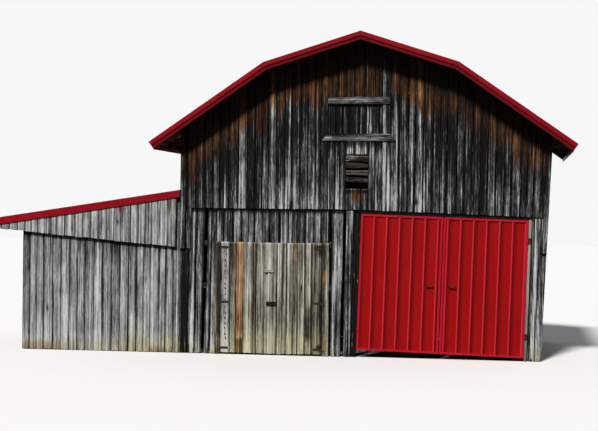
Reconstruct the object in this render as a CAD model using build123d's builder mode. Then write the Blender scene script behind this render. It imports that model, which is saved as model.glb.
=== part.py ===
from build123d import *
import os
from math import atan2, cos, radians, sin, tan

os.makedirs("parts", exist_ok=True)

# A small gambrel barn with a lean-to at its left side.
# All sizes are in millimetres. X runs along the front, Y from the front to the back, Z up.
# The origin is on the ground, under the middle of the whole building.

# Overall sizes of the main barn. Its width is worked out from the doors and the boards between.
wall_depth = 4320
knee_offset = 1735
ridge_height = 5802
knee_height = 5252
eave_height = 3824
eave_overhang = 505
rake_overhang = 450

# Overall sizes of the lean-to
lean_to_width = 2970
lean_to_eave_overhang = 580
lean_to_high = 2970
lean_to_low = 2410
lean_to_verge = 95
lean_to_fascia_inset = 45
lean_to_tail_bottom = 130
apron_inset = 30
apron_gap = 70
apron_stand_off = 45
apron_bearer_height = 60
apron_foot_left = 2228
apron_foot_right = 1926

# Timber sizes
board_thickness = 25
post_size = 120
lean_to_post_size = 100
girt_depth = 50
girt_height = 95
rafter_width = 45
rafter_depth = 140
lean_to_rafter_depth = 120
batten_width = 100
batten_thickness = 25
plate_height = 100
rafter_notch = 30
beam_width = 100
beam_height = 150
ridge_board_width = 40
ridge_board_height = 200
ledger_width = 50
ledger_height = 150
joist_width = 80
joist_height = 175
rafter_pairs = 6
lean_to_rafters_count = 6

# Sheet metal sizes
metal = 3
rib_pitch = 228.6
rib_height = 19
rib_base = 64
rib_top = 26
trim_face = 78
trim_leg = 120
trim_reveal = 20
barge_face = 143
barge_thickness = 25
lean_to_trim_face = 126
cap_wing = 170
sheet_gap = 5
eave_inset = 10
fascia_drop = 136
fascia_inset = 105
fascia_thickness = 22
tail_depth = 88

# The skirt line, where the gable boards lap over the lower boards
skirt_over_doors = 109.5
skirt_bend_inset = 46
skirt_drop = 105
skirt_lap = 120
lower_board_top_gap = 3

# Front corner boards
corner_board_foot = 1905
left_corner_board = (0, 97)
left_second_board = (120, 206)
right_corner_board_width = 92

# The open slot between two front boards
slot_top_x = 462
slot_bottom_x = 400
slot_width = 55

# Wooden double doors
wood_door_left_x = 757
wood_door_width = 1855
wood_seam_offset = 107.5
wood_door_height = 2040
wood_door_sag = 12
wood_door_ground_gap = 35
wood_door_gap = 6
wood_seam_gap = 12
wood_door_lap = 60
wood_door_proud = 30
wood_door_back_gap = 5
casing_width = 95
right_casing_width = 125
ledge_height = 120
ledge_thickness = 25
ledge_inset = 45
ledge_heights = (270, 1010, 1790)
wood_handle_from_seam = 120
wood_handle_blocks = (925, 1520)
wood_handle_block_height = 45
wood_handle_block_width = 165
wood_handle_bar_width = 60
wood_handle_bar_shift = 12
wood_handle_bar_depth = 20
wood_handle_depth = 28
strap_length = 150
strap_height = 40
strap_thickness = 4
strap_heights = (120, 950, 1940)
hinge_pin_radius = 7
hinge_axis_reach = 9
hinge_play = 0.3
pintle_height = 22
pintle_plate = 60

# Red metal double doors in a bay that has tilted with the frame
bay_tilt = 1.6
right_wall_lean = 2.45
plumb_height = 2150
red_door_ground_gap = 97.5
red_bay_shift = 143
right_margin = 364
red_door_width = 2960
red_door_height = 2435
red_seam_offset = -12
red_seam_gap = 14
red_frame_width = 38
red_frame_depth = 40
red_frame_proud = 30
red_sheet_back = -5
red_door_gap = 8
red_rib_edge_left = 240
red_rib_edge_right = 262
red_door_rail = 60
jamb_width = 48
jamb_depth = 60
left_jamb_recess = 30
right_jamb_proud = 28
head_height = 60
handle_height = -12
handle_length = 115
handle_radius = 9
handle_reach = 45
rose_radius = 16
rose_thickness = 5
red_hinge_length = 110
red_knuckle = 36
red_hinge_heights = (-840, 850)

# Middle post between the two doorways, seen between the boards
middle_strip_width = 211
middle_post_lean = 43
middle_post_width = 140
middle_gap = 45

# Loft opening and hatch, both boarded up. Sideways places are from the gable's middle.
loft_opening_left = -610
loft_opening_right = 365
loft_opening_over_hatch = 365
loft_opening_height = 530
casing_left = -612
casing_right = 506
lintel_height = 130
sill_height = 135
sill_spread = 112
casing_thickness = 22
board_lap = 45
hatch_left = -285
hatch_right = 120
hatch_over_floor = 95
hatch_height = 625
hatch_boards = (170, 288, 418, 545)
hatch_board_height = 105

# Loft floor
floor_over_skirt = 278
floor_thickness = 25
floor_clearance = 3

# Rails that carry the gable boards
gable_rail_height = 130
gable_rail_gap = 20

# Heights of the rails that carry the lower boards
girt_rows = (1235, 2010)
lean_to_girt_rows = (950, 1780)

# Worked out from the sizes above
wood_door_right_x = wood_door_left_x + wood_door_width
wood_door_seam_x = wood_door_left_x + wood_door_width / 2 + wood_seam_offset
middle_post_bottom_x = wood_door_right_x + right_casing_width + middle_strip_width + middle_gap
middle_post_top_x = middle_post_bottom_x + middle_post_lean
red_door_left_x = middle_post_bottom_x + middle_post_width + red_bay_shift
red_door_centre_x = red_door_left_x + red_door_width / 2
red_door_centre_z = red_door_ground_gap + red_door_height / 2
wall_width = red_door_left_x + red_door_width + right_margin
roof_half_span = wall_width / 2 + eave_overhang
fascia_foot = eave_height - fascia_drop
skirt_height = red_door_ground_gap + red_door_height + skirt_over_doors
skirt_bend_x = red_door_left_x - skirt_bend_inset
loft_floor_top = skirt_height + floor_over_skirt
hatch_bottom = loft_floor_top + hatch_over_floor
hatch_top = hatch_bottom + hatch_height
loft_opening_bottom = hatch_top + loft_opening_over_hatch
loft_opening_top = loft_opening_bottom + loft_opening_height
gable_rails = (
    loft_floor_top - gable_rail_height,
    hatch_top + board_lap + gable_rail_gap,
    loft_opening_top + lintel_height + board_lap,
)
lower_slope = atan2(knee_height - eave_height, roof_half_span - knee_offset)
upper_slope = atan2(ridge_height - knee_height, knee_offset)
lean_to_run = lean_to_width + lean_to_eave_overhang
lean_to_slope = atan2(lean_to_high - lean_to_low, lean_to_run)
ridge_x = (wall_width / 2 + lean_to_run - roof_half_span) / 2
left = ridge_x - wall_width / 2
right = ridge_x + wall_width / 2
front = -wall_depth / 2
back = wall_depth / 2
roof_front = front - rake_overhang
roof_back = back + rake_overhang
pan_top = metal + rib_height
pan_bottom = pan_top + metal
batten_bottom = pan_bottom + batten_thickness
rafter_bottom = batten_bottom + rafter_depth
lean_to_left = left - lean_to_width
lean_to_tip = left - lean_to_run
lean_to_front = front - lean_to_verge
lean_to_back = back + lean_to_verge
lean_to_rafter_bottom = batten_bottom + lean_to_rafter_depth


def facing_front(y):
    """The upright plane at depth y; what is extruded from it grows towards the front."""
    return Plane.XZ.offset(-y)


def roof_line(drop):
    """Five points of the gambrel outline, moved in by drop, from the left tip to the right tip."""
    lower_normal = (-sin(lower_slope), -cos(lower_slope))
    upper_normal = (-sin(upper_slope), -cos(upper_slope))
    meeting = 1 + lower_normal[0] * upper_normal[0] + lower_normal[1] * upper_normal[1]
    knee = (
        knee_offset + drop * (lower_normal[0] + upper_normal[0]) / meeting,
        knee_height + drop * (lower_normal[1] + upper_normal[1]) / meeting,
    )
    tip = (roof_half_span + drop * lower_normal[0], eave_height + drop * lower_normal[1])
    ridge = (0, ridge_height - drop / cos(upper_slope))
    half = [tip, knee]
    left_half = [(ridge_x - x, z) for x, z in half]
    right_half = [(ridge_x + x, z) for x, z in reversed(half)]
    return left_half + [(ridge_x + ridge[0], ridge[1])] + right_half


def roof_band(outer, inner):
    """Outline of the strip between two gambrel lines."""
    return roof_line(outer) + list(reversed(roof_line(inner)))


def roof_height(x, drop):
    """Height of the gambrel line that is moved in by drop, at the place x."""
    run = abs(x - ridge_x)
    if run > roof_line(drop)[3][0] - ridge_x:
        return eave_height + (roof_half_span - run) * tan(lower_slope) - drop / cos(lower_slope)
    return ridge_height - run * tan(upper_slope) - drop / cos(upper_slope)


def out_of_plumb(z):
    """How far the leaning right wall stands to the right of its plumb place at the height z."""
    return (z - plumb_height) * tan(radians(right_wall_lean))


def leaning_height(x, drop):
    """Height at which the right wall's leaning line at the place x meets the moved-in gambrel line."""
    fall = tan(radians(right_wall_lean)) * tan(lower_slope)
    return (roof_height(x, drop) + plumb_height * fall) / (1 + fall)


def leaning_strip(start, end, foot, head):
    """Outline of an upright strip of the right wall, between two places and two heights."""
    return [
        (start + out_of_plumb(foot), foot),
        (end + out_of_plumb(foot), foot),
        (end + out_of_plumb(head), head),
        (start + out_of_plumb(head), head),
    ]


def lean_to_height(x, drop):
    """Height of the lean-to roof's top, moved in by drop, at the place x."""
    return lean_to_high - (left - x) * tan(lean_to_slope) - drop / cos(lean_to_slope)


def skirt(x):
    """Height of the skirt line at the place x."""
    bend = left + skirt_bend_x
    if x <= bend:
        return skirt_height
    return skirt_height - skirt_drop * (x - bend) / (right - bend)


def ribbed_outline(start, end, ribs, height):
    """Closed outline of a thin sheet with a flat pan at height and ribs centred on ribs."""
    top = [(start, height)]
    for rib in ribs:
        top.append((rib - rib_base / 2, height))
        top.append((rib - rib_top / 2, height + rib_height))
        top.append((rib + rib_top / 2, height + rib_height))
        top.append((rib + rib_base / 2, height))
    top.append((end, height))
    return top + [(u, v - metal) for u, v in reversed(top)]


def even_ribs(length):
    """Places of the ribs of a roof sheet that is as wide as length, from its middle."""
    count = int((length - trim_leg) / rib_pitch) + 1
    return [(i - (count - 1) / 2) * rib_pitch for i in range(count)]


def evenly(start, end, count):
    """As many places as count, from start to end."""
    return [start + (end - start) * i / (count - 1) for i in range(count)]


# Lower front boards, split beside and over the doorways
slot_foot = left + slot_bottom_x
slot_head = left + slot_top_x
board_top = skirt_height + skirt_lap
casing_left_x = left + wood_door_left_x - casing_width
casing_right_x = left + wood_door_right_x + right_casing_width
front_inside = front + board_thickness

with BuildPart() as front_wall_left:
    with BuildSketch(facing_front(front_inside)):
        with BuildLine():
            Polyline(
                (left, 0),
                (slot_foot, 0),
                (slot_head, board_top),
                (left, board_top),
                close=True,
            )
        make_face()
        with BuildLine():
            Polyline(
                (slot_foot + slot_width, 0),
                (casing_left_x, 0),
                (casing_left_x, board_top),
                (slot_head + slot_width, board_top),
                close=True,
            )
        make_face()
    extrude(amount=board_thickness)
front_wall_left.part.label = "front_wall_left"
export_step(front_wall_left.part, "parts/front_wall_left.step")

header_foot = wood_door_height - wood_door_lap
header_left = casing_left_x + lower_board_top_gap
header_right = casing_right_x - lower_board_top_gap

with BuildPart() as front_wall_over_doors:
    with BuildSketch(facing_front(front_inside)):
        with BuildLine():
            Polyline(
                (header_left, header_foot),
                (header_right, header_foot),
                (header_right, board_top),
                (header_left, board_top),
                close=True,
            )
        make_face()
    extrude(amount=board_thickness)
front_wall_over_doors.part.label = "front_wall_over_doors"
export_step(front_wall_over_doors.part, "parts/front_wall_over_doors.step")

middle_right_foot = left + middle_post_bottom_x - middle_gap
middle_right_head = left + middle_post_top_x - middle_gap

with BuildPart() as front_wall_middle:
    with BuildSketch(facing_front(front_inside)):
        with BuildLine():
            Polyline(
                (casing_right_x, 0),
                (middle_right_foot, 0),
                (middle_right_head, board_top),
                (casing_right_x, board_top),
                close=True,
            )
        make_face()
    extrude(amount=board_thickness)
front_wall_middle.part.label = "front_wall_middle"
export_step(front_wall_middle.part, "parts/front_wall_middle.step")


def bay_point(u, v):
    """A point of the tilted red door bay, from its centre, as real x and z."""
    tilt = radians(bay_tilt)
    x = left + red_door_centre_x + u * cos(tilt) + v * sin(tilt)
    return x, red_door_centre_z - u * sin(tilt) + v * cos(tilt)


def bay_x(u, z):
    """Real x, at the height z, of the bay's line at u from its centre."""
    tilt = radians(bay_tilt)
    v = (z - red_door_centre_z + u * sin(tilt)) / cos(tilt)
    return bay_point(u, v)[0]


jamb_inner = red_door_width / 2 + red_door_gap
jamb_outer = jamb_inner + jamb_width
head_inner = red_door_height / 2 + red_door_gap
head_outer = head_inner + head_height

with BuildPart() as front_wall_right:
    with BuildSketch(facing_front(front_inside)):
        with BuildLine():
            Polyline(
                (bay_x(jamb_outer, 0) + middle_gap, 0),
                (right + out_of_plumb(0), 0),
                (right + out_of_plumb(board_top), board_top),
                (bay_x(jamb_outer, board_top) + middle_gap, board_top),
                close=True,
            )
        make_face()
    extrude(amount=board_thickness)
front_wall_right.part.label = "front_wall_right"
export_step(front_wall_right.part, "parts/front_wall_right.step")

# Gable boards, which lap over the lower boards at the skirt line
bend_x = left + skirt_bend_x
gable_eave_height = roof_height(left, batten_bottom)
gable_right_height = leaning_height(right, batten_bottom)
gable_roof_points = roof_line(batten_bottom)[1:4]

with BuildPart() as front_gable_boards:
    with BuildSketch(facing_front(front)):
        with BuildLine():
            Polyline(
                (left, skirt(left)),
                (bend_x, skirt(bend_x)),
                (right + out_of_plumb(skirt(right)), skirt(right)),
                (right + out_of_plumb(gable_right_height), gable_right_height),
                *reversed(gable_roof_points),
                (left, gable_eave_height),
                close=True,
            )
        make_face()
        with BuildLine():
            Polyline(
                (ridge_x + loft_opening_left, loft_opening_bottom),
                (ridge_x + loft_opening_right, loft_opening_bottom),
                (ridge_x + loft_opening_right, loft_opening_top),
                (ridge_x + loft_opening_left, loft_opening_top),
                close=True,
            )
        make_face(mode=Mode.SUBTRACT)
        with BuildLine():
            Polyline(
                (ridge_x + hatch_left, hatch_bottom),
                (ridge_x + hatch_right, hatch_bottom),
                (ridge_x + hatch_right, hatch_top),
                (ridge_x + hatch_left, hatch_top),
                close=True,
            )
        make_face(mode=Mode.SUBTRACT)
    extrude(amount=board_thickness)
front_gable_boards.part.label = "front_gable_boards"
export_step(front_gable_boards.part, "parts/front_gable_boards.step")

# Corner boards, planted on the gable boards, and one long board beside them
gable_face = front - board_thickness

with BuildPart() as front_corner_boards:
    with BuildSketch(facing_front(gable_face)):
        low, high = [left + edge for edge in left_corner_board]
        with BuildLine():
            Polyline(
                (low, corner_board_foot),
                (high, corner_board_foot),
                (high, roof_height(high, barge_face)),
                (low, roof_height(low, barge_face)),
                close=True,
            )
        make_face()
        low, high = right - right_corner_board_width, right
        low_top, high_top = leaning_height(low, barge_face), leaning_height(high, barge_face)
        with BuildLine():
            Polyline(
                (low + out_of_plumb(corner_board_foot), corner_board_foot),
                (high + out_of_plumb(corner_board_foot), corner_board_foot),
                (high + out_of_plumb(high_top), high_top),
                (low + out_of_plumb(low_top), low_top),
                close=True,
            )
        make_face()
    extrude(amount=board_thickness)
    with BuildSketch(facing_front(front)):
        with BuildLine():
            Polyline(
                (left + left_second_board[0], corner_board_foot),
                (left + left_second_board[1], corner_board_foot),
                (left + left_second_board[1], skirt_height - lower_board_top_gap),
                (left + left_second_board[0], skirt_height - lower_board_top_gap),
                close=True,
            )
        make_face()
    extrude(amount=board_thickness)
front_corner_boards.part.label = "front_corner_boards"
export_step(front_corner_boards.part, "parts/front_corner_boards.step")

# Loft opening: lintel and mitred sill outside, closing boards behind
with BuildPart() as loft_opening_casing:
    with BuildSketch(facing_front(gable_face)):
        with BuildLine():
            Polyline(
                (ridge_x + casing_left, loft_opening_top),
                (ridge_x + casing_right, loft_opening_top),
                (ridge_x + casing_right, loft_opening_top + lintel_height),
                (ridge_x + casing_left, loft_opening_top + lintel_height),
                close=True,
            )
        make_face()
        with BuildLine():
            Polyline(
                (ridge_x + casing_left - sill_spread, loft_opening_bottom - sill_height),
                (ridge_x + casing_right + sill_spread, loft_opening_bottom - sill_height),
                (ridge_x + casing_right, loft_opening_bottom),
                (ridge_x + casing_left, loft_opening_bottom),
                close=True,
            )
        make_face()
    extrude(amount=casing_thickness)
loft_opening_casing.part.label = "loft_opening_casing"
export_step(loft_opening_casing.part, "parts/loft_opening_casing.step")

with BuildPart() as loft_opening_boards:
    with BuildSketch(facing_front(front_inside)):
        with BuildLine():
            Polyline(
                (ridge_x + loft_opening_left - board_lap, loft_opening_bottom - board_lap),
                (ridge_x + loft_opening_right + board_lap, loft_opening_bottom - board_lap),
                (ridge_x + loft_opening_right + board_lap, loft_opening_top + board_lap),
                (ridge_x + loft_opening_left - board_lap, loft_opening_top + board_lap),
                close=True,
            )
        make_face()
    extrude(amount=board_thickness)
loft_opening_boards.part.label = "loft_opening_boards"
export_step(loft_opening_boards.part, "parts/loft_opening_boards.step")

with BuildPart() as gable_hatch_boards:
    for height in hatch_boards:
        middle = hatch_bottom + height
        with BuildSketch(facing_front(front_inside)):
            with BuildLine():
                Polyline(
                    (ridge_x + hatch_left - board_lap, middle - hatch_board_height / 2),
                    (ridge_x + hatch_right + board_lap, middle - hatch_board_height / 2),
                    (ridge_x + hatch_right + board_lap, middle + hatch_board_height / 2),
                    (ridge_x + hatch_left - board_lap, middle + hatch_board_height / 2),
                    close=True,
                )
            make_face()
        extrude(amount=board_thickness)
gable_hatch_boards.part.label = "gable_hatch_boards"
export_step(gable_hatch_boards.part, "parts/gable_hatch_boards.step")

# Casings beside the wooden doors
with BuildPart() as wood_door_casings:
    for low, high in (
        (casing_left_x, left + wood_door_left_x),
        (left + wood_door_right_x, casing_right_x),
    ):
        with BuildSketch(facing_front(front_inside)):
            with BuildLine():
                Polyline(
                    (low, 0),
                    (high, 0),
                    (high, header_foot),
                    (low, header_foot),
                    close=True,
                )
            make_face()
        extrude(amount=board_thickness)
        with BuildSketch(facing_front(front)):
            with BuildLine():
                Polyline(
                    (low, 0),
                    (high, 0),
                    (high, wood_door_height),
                    (low, wood_door_height),
                    close=True,
                )
            make_face()
        extrude(amount=wood_door_proud)
wood_door_casings.part.label = "wood_door_casings"
export_step(wood_door_casings.part, "parts/wood_door_casings.step")

# The middle post between the two doorways, seen between the boards
post_left_foot = left + middle_post_bottom_x
post_left_head = left + middle_post_top_x
joist_foot = loft_floor_top - floor_thickness - joist_height
post_rise = (post_left_head - post_left_foot) / board_top


def middle_post_right(z):
    """The right edge of the middle post at the height z."""
    return post_left_foot + post_rise * z + middle_post_width


with BuildPart() as middle_post:
    with BuildSketch(facing_front(front + post_size)):
        with BuildLine():
            Polyline(
                (middle_post_right(0) - middle_post_width, 0),
                (middle_post_right(0), 0),
                (middle_post_right(joist_foot), joist_foot),
                (middle_post_right(joist_foot) - middle_post_width, joist_foot),
                close=True,
            )
        make_face()
    extrude(amount=post_size)
middle_post.part.label = "middle_post"
export_step(middle_post.part, "parts/middle_post.step")

# Jambs and head of the red door bay, tilted with it and cut level at the ground.
# The left jamb lies back in the shade and fills the space up to the middle post.
left_jamb_head = bay_point(-jamb_inner, head_inner)[1]

with BuildPart() as red_doorway_jambs:
    with BuildSketch(facing_front(front + left_jamb_recess + jamb_depth)):
        with BuildLine():
            Polyline(
                (bay_x(-jamb_inner, 0), 0),
                bay_point(-jamb_inner, head_inner),
                (middle_post_right(left_jamb_head), left_jamb_head),
                (middle_post_right(0), 0),
                close=True,
            )
        make_face()
    extrude(amount=jamb_depth)
    with BuildSketch(facing_front(front + jamb_depth)):
        with BuildLine():
            Polyline(
                (bay_x(jamb_inner, 0), 0),
                bay_point(jamb_inner, head_inner),
                bay_point(jamb_outer, head_inner),
                (bay_x(jamb_outer, 0), 0),
                close=True,
            )
        make_face()
    extrude(amount=jamb_depth + right_jamb_proud)
red_doorway_jambs.part.label = "red_doorway_jambs"
export_step(red_doorway_jambs.part, "parts/red_doorway_jambs.step")

with BuildPart() as red_doorway_head:
    with BuildSketch(facing_front(front + jamb_depth)):
        with BuildLine():
            Polyline(
                bay_point(-jamb_outer, head_inner),
                bay_point(-jamb_outer, head_outer),
                bay_point(jamb_outer, head_outer),
                bay_point(jamb_outer, head_inner),
                close=True,
            )
        make_face()
    extrude(amount=jamb_depth)
red_doorway_head.part.label = "red_doorway_head"
export_step(red_doorway_head.part, "parts/red_doorway_head.step")

# Side walls and back wall
side_board_top = roof_height(right, rafter_bottom)
back_inside = back - board_thickness

with BuildPart() as left_side_wall:
    with BuildSketch(Plane.XY):
        with Locations((left + board_thickness / 2, 0)):
            Rectangle(board_thickness, back_inside - front_inside)
    extrude(amount=side_board_top)
left_side_wall.part.label = "left_side_wall"
export_step(left_side_wall.part, "parts/left_side_wall.step")

right_board_top = leaning_height(right, rafter_bottom)

with BuildPart() as right_side_wall:
    with BuildSketch(facing_front(back_inside)):
        with BuildLine():
            Polyline(*leaning_strip(right - board_thickness, right, 0, right_board_top), close=True)
        make_face()
    extrude(amount=back_inside - front_inside)
right_side_wall.part.label = "right_side_wall"
export_step(right_side_wall.part, "parts/right_side_wall.step")

with BuildPart() as back_wall:
    with BuildSketch(facing_front(back)):
        with BuildLine():
            Polyline(
                (left, 0),
                (right + out_of_plumb(0), 0),
                (right + out_of_plumb(gable_right_height), gable_right_height),
                *reversed(gable_roof_points),
                (left, gable_eave_height),
                close=True,
            )
        make_face()
    extrude(amount=board_thickness)
back_wall.part.label = "back_wall"
export_step(back_wall.part, "parts/back_wall.step")

# Timber frame: posts, plates, rails, ledgers
plate_top = roof_height(right - board_thickness, rafter_bottom) + rafter_notch
plate_foot = plate_top - plate_height
right_plate_top = leaning_height(right - board_thickness, rafter_bottom) + rafter_notch
right_plate_foot = right_plate_top - plate_height
side_post_x = (left + board_thickness + post_size / 2, right - board_thickness - post_size / 2)
inner_post_left = left + board_thickness + post_size
inner_post_right = right - board_thickness - post_size
right_post_outside = right - board_thickness
side_post_y = evenly(front_inside + post_size / 2, back_inside - post_size / 2, 4)
gable_post_x = (
    left + wood_door_left_x - post_size / 2,
    left + wood_door_right_x + post_size / 2,
)
back_post_x = (ridge_x - wall_width / 6, ridge_x + wall_width / 6)
lean_to_post_x = lean_to_left + board_thickness + lean_to_post_size / 2
lean_to_plate_top = (
    lean_to_height(lean_to_left + board_thickness, lean_to_rafter_bottom) + rafter_notch / 2
)
lean_to_plate_foot = lean_to_plate_top - plate_height
lean_to_post_y = evenly(
    front_inside + lean_to_post_size / 2, back_inside - lean_to_post_size / 2, 3
)

with BuildPart() as wall_posts:
    with BuildSketch(Plane.XY):
        with Locations(*[(side_post_x[0], y) for y in side_post_y]):
            Rectangle(post_size, post_size)
    extrude(amount=plate_foot)
    for y in side_post_y:
        with BuildSketch(facing_front(y + post_size / 2)):
            with BuildLine():
                Polyline(
                    *leaning_strip(inner_post_right, right_post_outside, 0, right_plate_foot), close=True
                )
            make_face()
        extrude(amount=post_size)
    with BuildSketch(facing_front(front + jamb_depth + post_size)):
        with BuildLine():
            Polyline(
                (bay_x(jamb_inner, 0), 0),
                (bay_x(jamb_inner, 0) + post_size, 0),
                (bay_x(jamb_inner, joist_foot) + post_size, joist_foot),
                (bay_x(jamb_inner, joist_foot), joist_foot),
                close=True,
            )
        make_face()
    extrude(amount=post_size)
    with BuildSketch(Plane.XY):
        with Locations(*[(x, front_inside + post_size / 2) for x in gable_post_x]):
            Rectangle(post_size, post_size)
        with Locations(*[(x, back_inside - post_size / 2) for x in back_post_x]):
            Rectangle(post_size, post_size)
    extrude(amount=joist_foot)
    with BuildSketch(Plane.XY):
        with Locations(*[(lean_to_post_x, y) for y in lean_to_post_y]):
            Rectangle(lean_to_post_size, lean_to_post_size)
    extrude(amount=lean_to_plate_foot)
wall_posts.part.label = "wall_posts"
export_step(wall_posts.part, "parts/wall_posts.step")

right_plate_outline = leaning_strip(
    inner_post_right, right_post_outside, right_plate_foot, right_plate_top
)

with BuildPart() as wall_plates:
    with Locations((side_post_x[0], 0, plate_top - plate_height / 2)):
        Box(post_size, back_inside - front_inside, plate_height)
    with BuildSketch(facing_front(back_inside)):
        with BuildLine():
            Polyline(*right_plate_outline, close=True)
        make_face()
    extrude(amount=back_inside - front_inside)
    with Locations((lean_to_post_x, 0, lean_to_plate_top - plate_height / 2)):
        Box(lean_to_post_size, back_inside - front_inside, plate_height)
wall_plates.part.label = "wall_plates"
export_step(wall_plates.part, "parts/wall_plates.step")

# Rails between the posts, which carry the lower boards, and rails that carry the gable boards
girt_front_y = front_inside + girt_depth / 2
girt_back_y = back_inside - girt_depth / 2
front_girt_spans = (
    (inner_post_left, gable_post_x[0] - post_size / 2),
    (gable_post_x[1] + post_size / 2, middle_right_foot),
)
back_girt_spans = (
    (inner_post_left, back_post_x[0] - post_size / 2),
    (back_post_x[0] + post_size / 2, back_post_x[1] - post_size / 2),
)
last_girt_start = back_post_x[1] + post_size / 2
lean_to_inner = lean_to_post_x + lean_to_post_size / 2

with BuildPart() as wall_rails:
    for z in girt_rows:
        for start, end in front_girt_spans:
            with Locations(((start + end) / 2, girt_front_y, z)):
                Box(end - start, girt_depth, girt_height)
        for start, end in back_girt_spans:
            with Locations(((start + end) / 2, girt_back_y, z)):
                Box(end - start, girt_depth, girt_height)
        foot, head = z - girt_height / 2, z + girt_height / 2
        with BuildSketch(facing_front(back_inside)):
            with BuildLine():
                Polyline(
                    (last_girt_start, foot),
                    (inner_post_right + out_of_plumb(foot), foot),
                    (inner_post_right + out_of_plumb(head), head),
                    (last_girt_start, head),
                    close=True,
                )
            make_face()
        extrude(amount=girt_depth)
        for i in range(len(side_post_y) - 1):
            span = side_post_y[i + 1] - side_post_y[i] - post_size
            middle_y = (side_post_y[i] + side_post_y[i + 1]) / 2
            with Locations((left + board_thickness + girt_depth / 2, middle_y, z)):
                Box(girt_depth, span, girt_height)
            with BuildSketch(facing_front(side_post_y[i + 1] - post_size / 2)):
                with BuildLine():
                    Polyline(
                        *leaning_strip(right_post_outside - girt_depth, right_post_outside, foot, head),
                        close=True,
                    )
                make_face()
            extrude(amount=span)
    for z in lean_to_girt_rows:
        for y in (girt_front_y, girt_back_y):
            with Locations(((lean_to_inner + left) / 2, y, z)):
                Box(left - lean_to_inner, girt_depth, girt_height)
        for i in range(len(lean_to_post_y) - 1):
            span = lean_to_post_y[i + 1] - lean_to_post_y[i] - lean_to_post_size
            y = (lean_to_post_y[i] + lean_to_post_y[i + 1]) / 2
            with Locations((lean_to_left + board_thickness + girt_depth / 2, y, z)):
                Box(girt_depth, span, girt_height)
    for z in gable_rails:
        half = min(
            wall_width / 2,
            roof_half_span
            - (z + gable_rail_height - eave_height + batten_bottom / cos(lower_slope)) / tan(lower_slope),
        )
        with Locations((ridge_x, front + board_thickness / 2, z + gable_rail_height / 2)):
            Box(2 * half, board_thickness, gable_rail_height)
wall_rails.part.label = "wall_rails"
export_step(wall_rails.part, "parts/wall_rails.step")

# Loft floor: ledgers along the side posts, joists across, boards on top
ledger_y = back_inside - front_inside - 2 * post_size
lean_to_ledger_top = lean_to_height(left - ledger_width, batten_bottom)

with BuildPart() as ledgers:
    with Locations((inner_post_left + ledger_width / 2, 0, joist_foot - ledger_height / 2)):
        Box(ledger_width, ledger_y, ledger_height)
    with BuildSketch(facing_front(ledger_y / 2)):
        with BuildLine():
            Polyline(
                *leaning_strip(
                    inner_post_right - ledger_width, inner_post_right, joist_foot - ledger_height, joist_foot
                ),
                close=True,
            )
        make_face()
    extrude(amount=ledger_y)
    with Locations((left - ledger_width / 2, 0, lean_to_ledger_top - ledger_height / 2)):
        Box(ledger_width, back_inside - front_inside, ledger_height)
ledgers.part.label = "ledgers"
export_step(ledgers.part, "parts/ledgers.step")

joist_y = evenly(front_inside + joist_width / 2, back_inside - joist_width / 2, rafter_pairs)

joist_top = joist_foot + joist_height

with BuildPart() as loft_joists:
    for y in joist_y:
        with BuildSketch(facing_front(y + joist_width / 2)):
            with BuildLine():
                Polyline(
                    (inner_post_left, joist_foot),
                    (inner_post_right + out_of_plumb(joist_foot), joist_foot),
                    (inner_post_right + out_of_plumb(joist_top), joist_top),
                    (inner_post_left, joist_top),
                    close=True,
                )
            make_face()
        extrude(amount=joist_width)
loft_joists.part.label = "loft_joists"
export_step(loft_joists.part, "parts/loft_joists.step")

floor_left = inner_post_left + floor_clearance
floor_right = inner_post_right - floor_clearance
floor_y = back_inside - front_inside - 2 * floor_clearance

with BuildPart() as loft_floor:
    with BuildSketch(facing_front(floor_y / 2)):
        with BuildLine():
            Polyline(
                (floor_left, joist_top),
                (floor_right + out_of_plumb(joist_top), joist_top),
                (floor_right + out_of_plumb(loft_floor_top), loft_floor_top),
                (floor_left, loft_floor_top),
                close=True,
            )
        make_face()
    extrude(amount=floor_y)
loft_floor.part.label = "loft_floor"
export_step(loft_floor.part, "parts/loft_floor.step")

# Rafters: a lower and an upper one on each side, which meet at the knee beams
rafter_y = evenly(front_inside + rafter_width / 2, back_inside - rafter_width / 2, rafter_pairs)
fascia_x = roof_half_span - fascia_inset
tail_bottom = batten_bottom + tail_depth
knee_top = roof_line(batten_bottom)[3]
knee_foot = roof_line(rafter_bottom)[3]
knee_beam_x = knee_foot[0] - ridge_x
knee_beam_top = knee_foot[1] + rafter_notch / 2
right_heel = right + out_of_plumb(right_board_top) - ridge_x

with BuildPart() as lower_rafters:
    for side, heel in ((-1, wall_width / 2), (1, right_heel)):
        for y in rafter_y:
            with BuildSketch(facing_front(y + rafter_width / 2)):
                with BuildLine():
                    Polyline(
                        (ridge_x + side * (knee_top[0] - ridge_x), knee_top[1]),
                        (ridge_x + side * fascia_x, roof_height(ridge_x + fascia_x, batten_bottom)),
                        (ridge_x + side * fascia_x, roof_height(ridge_x + fascia_x, tail_bottom)),
                        (ridge_x + side * heel, roof_height(ridge_x + heel, tail_bottom)),
                        (ridge_x + side * heel, roof_height(ridge_x + heel, rafter_bottom)),
                        (ridge_x + side * (knee_foot[0] - ridge_x), knee_foot[1]),
                        close=True,
                    )
                make_face()
            extrude(amount=rafter_width)
    with Locations((side_post_x[0], 0, plate_top - plate_height / 2)):
        Box(post_size, wall_depth, plate_height, mode=Mode.SUBTRACT)
    with BuildSketch(facing_front(back)):
        with BuildLine():
            Polyline(*right_plate_outline, close=True)
        make_face()
    extrude(amount=wall_depth, mode=Mode.SUBTRACT)
    for side in (-1, 1):
        with Locations((ridge_x + side * knee_beam_x, 0, knee_beam_top - beam_height / 2)):
            Box(beam_width, wall_depth, beam_height, mode=Mode.SUBTRACT)
lower_rafters.part.label = "lower_rafters"
export_step(lower_rafters.part, "parts/lower_rafters.step")

ridge_side = ridge_board_width / 2

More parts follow.
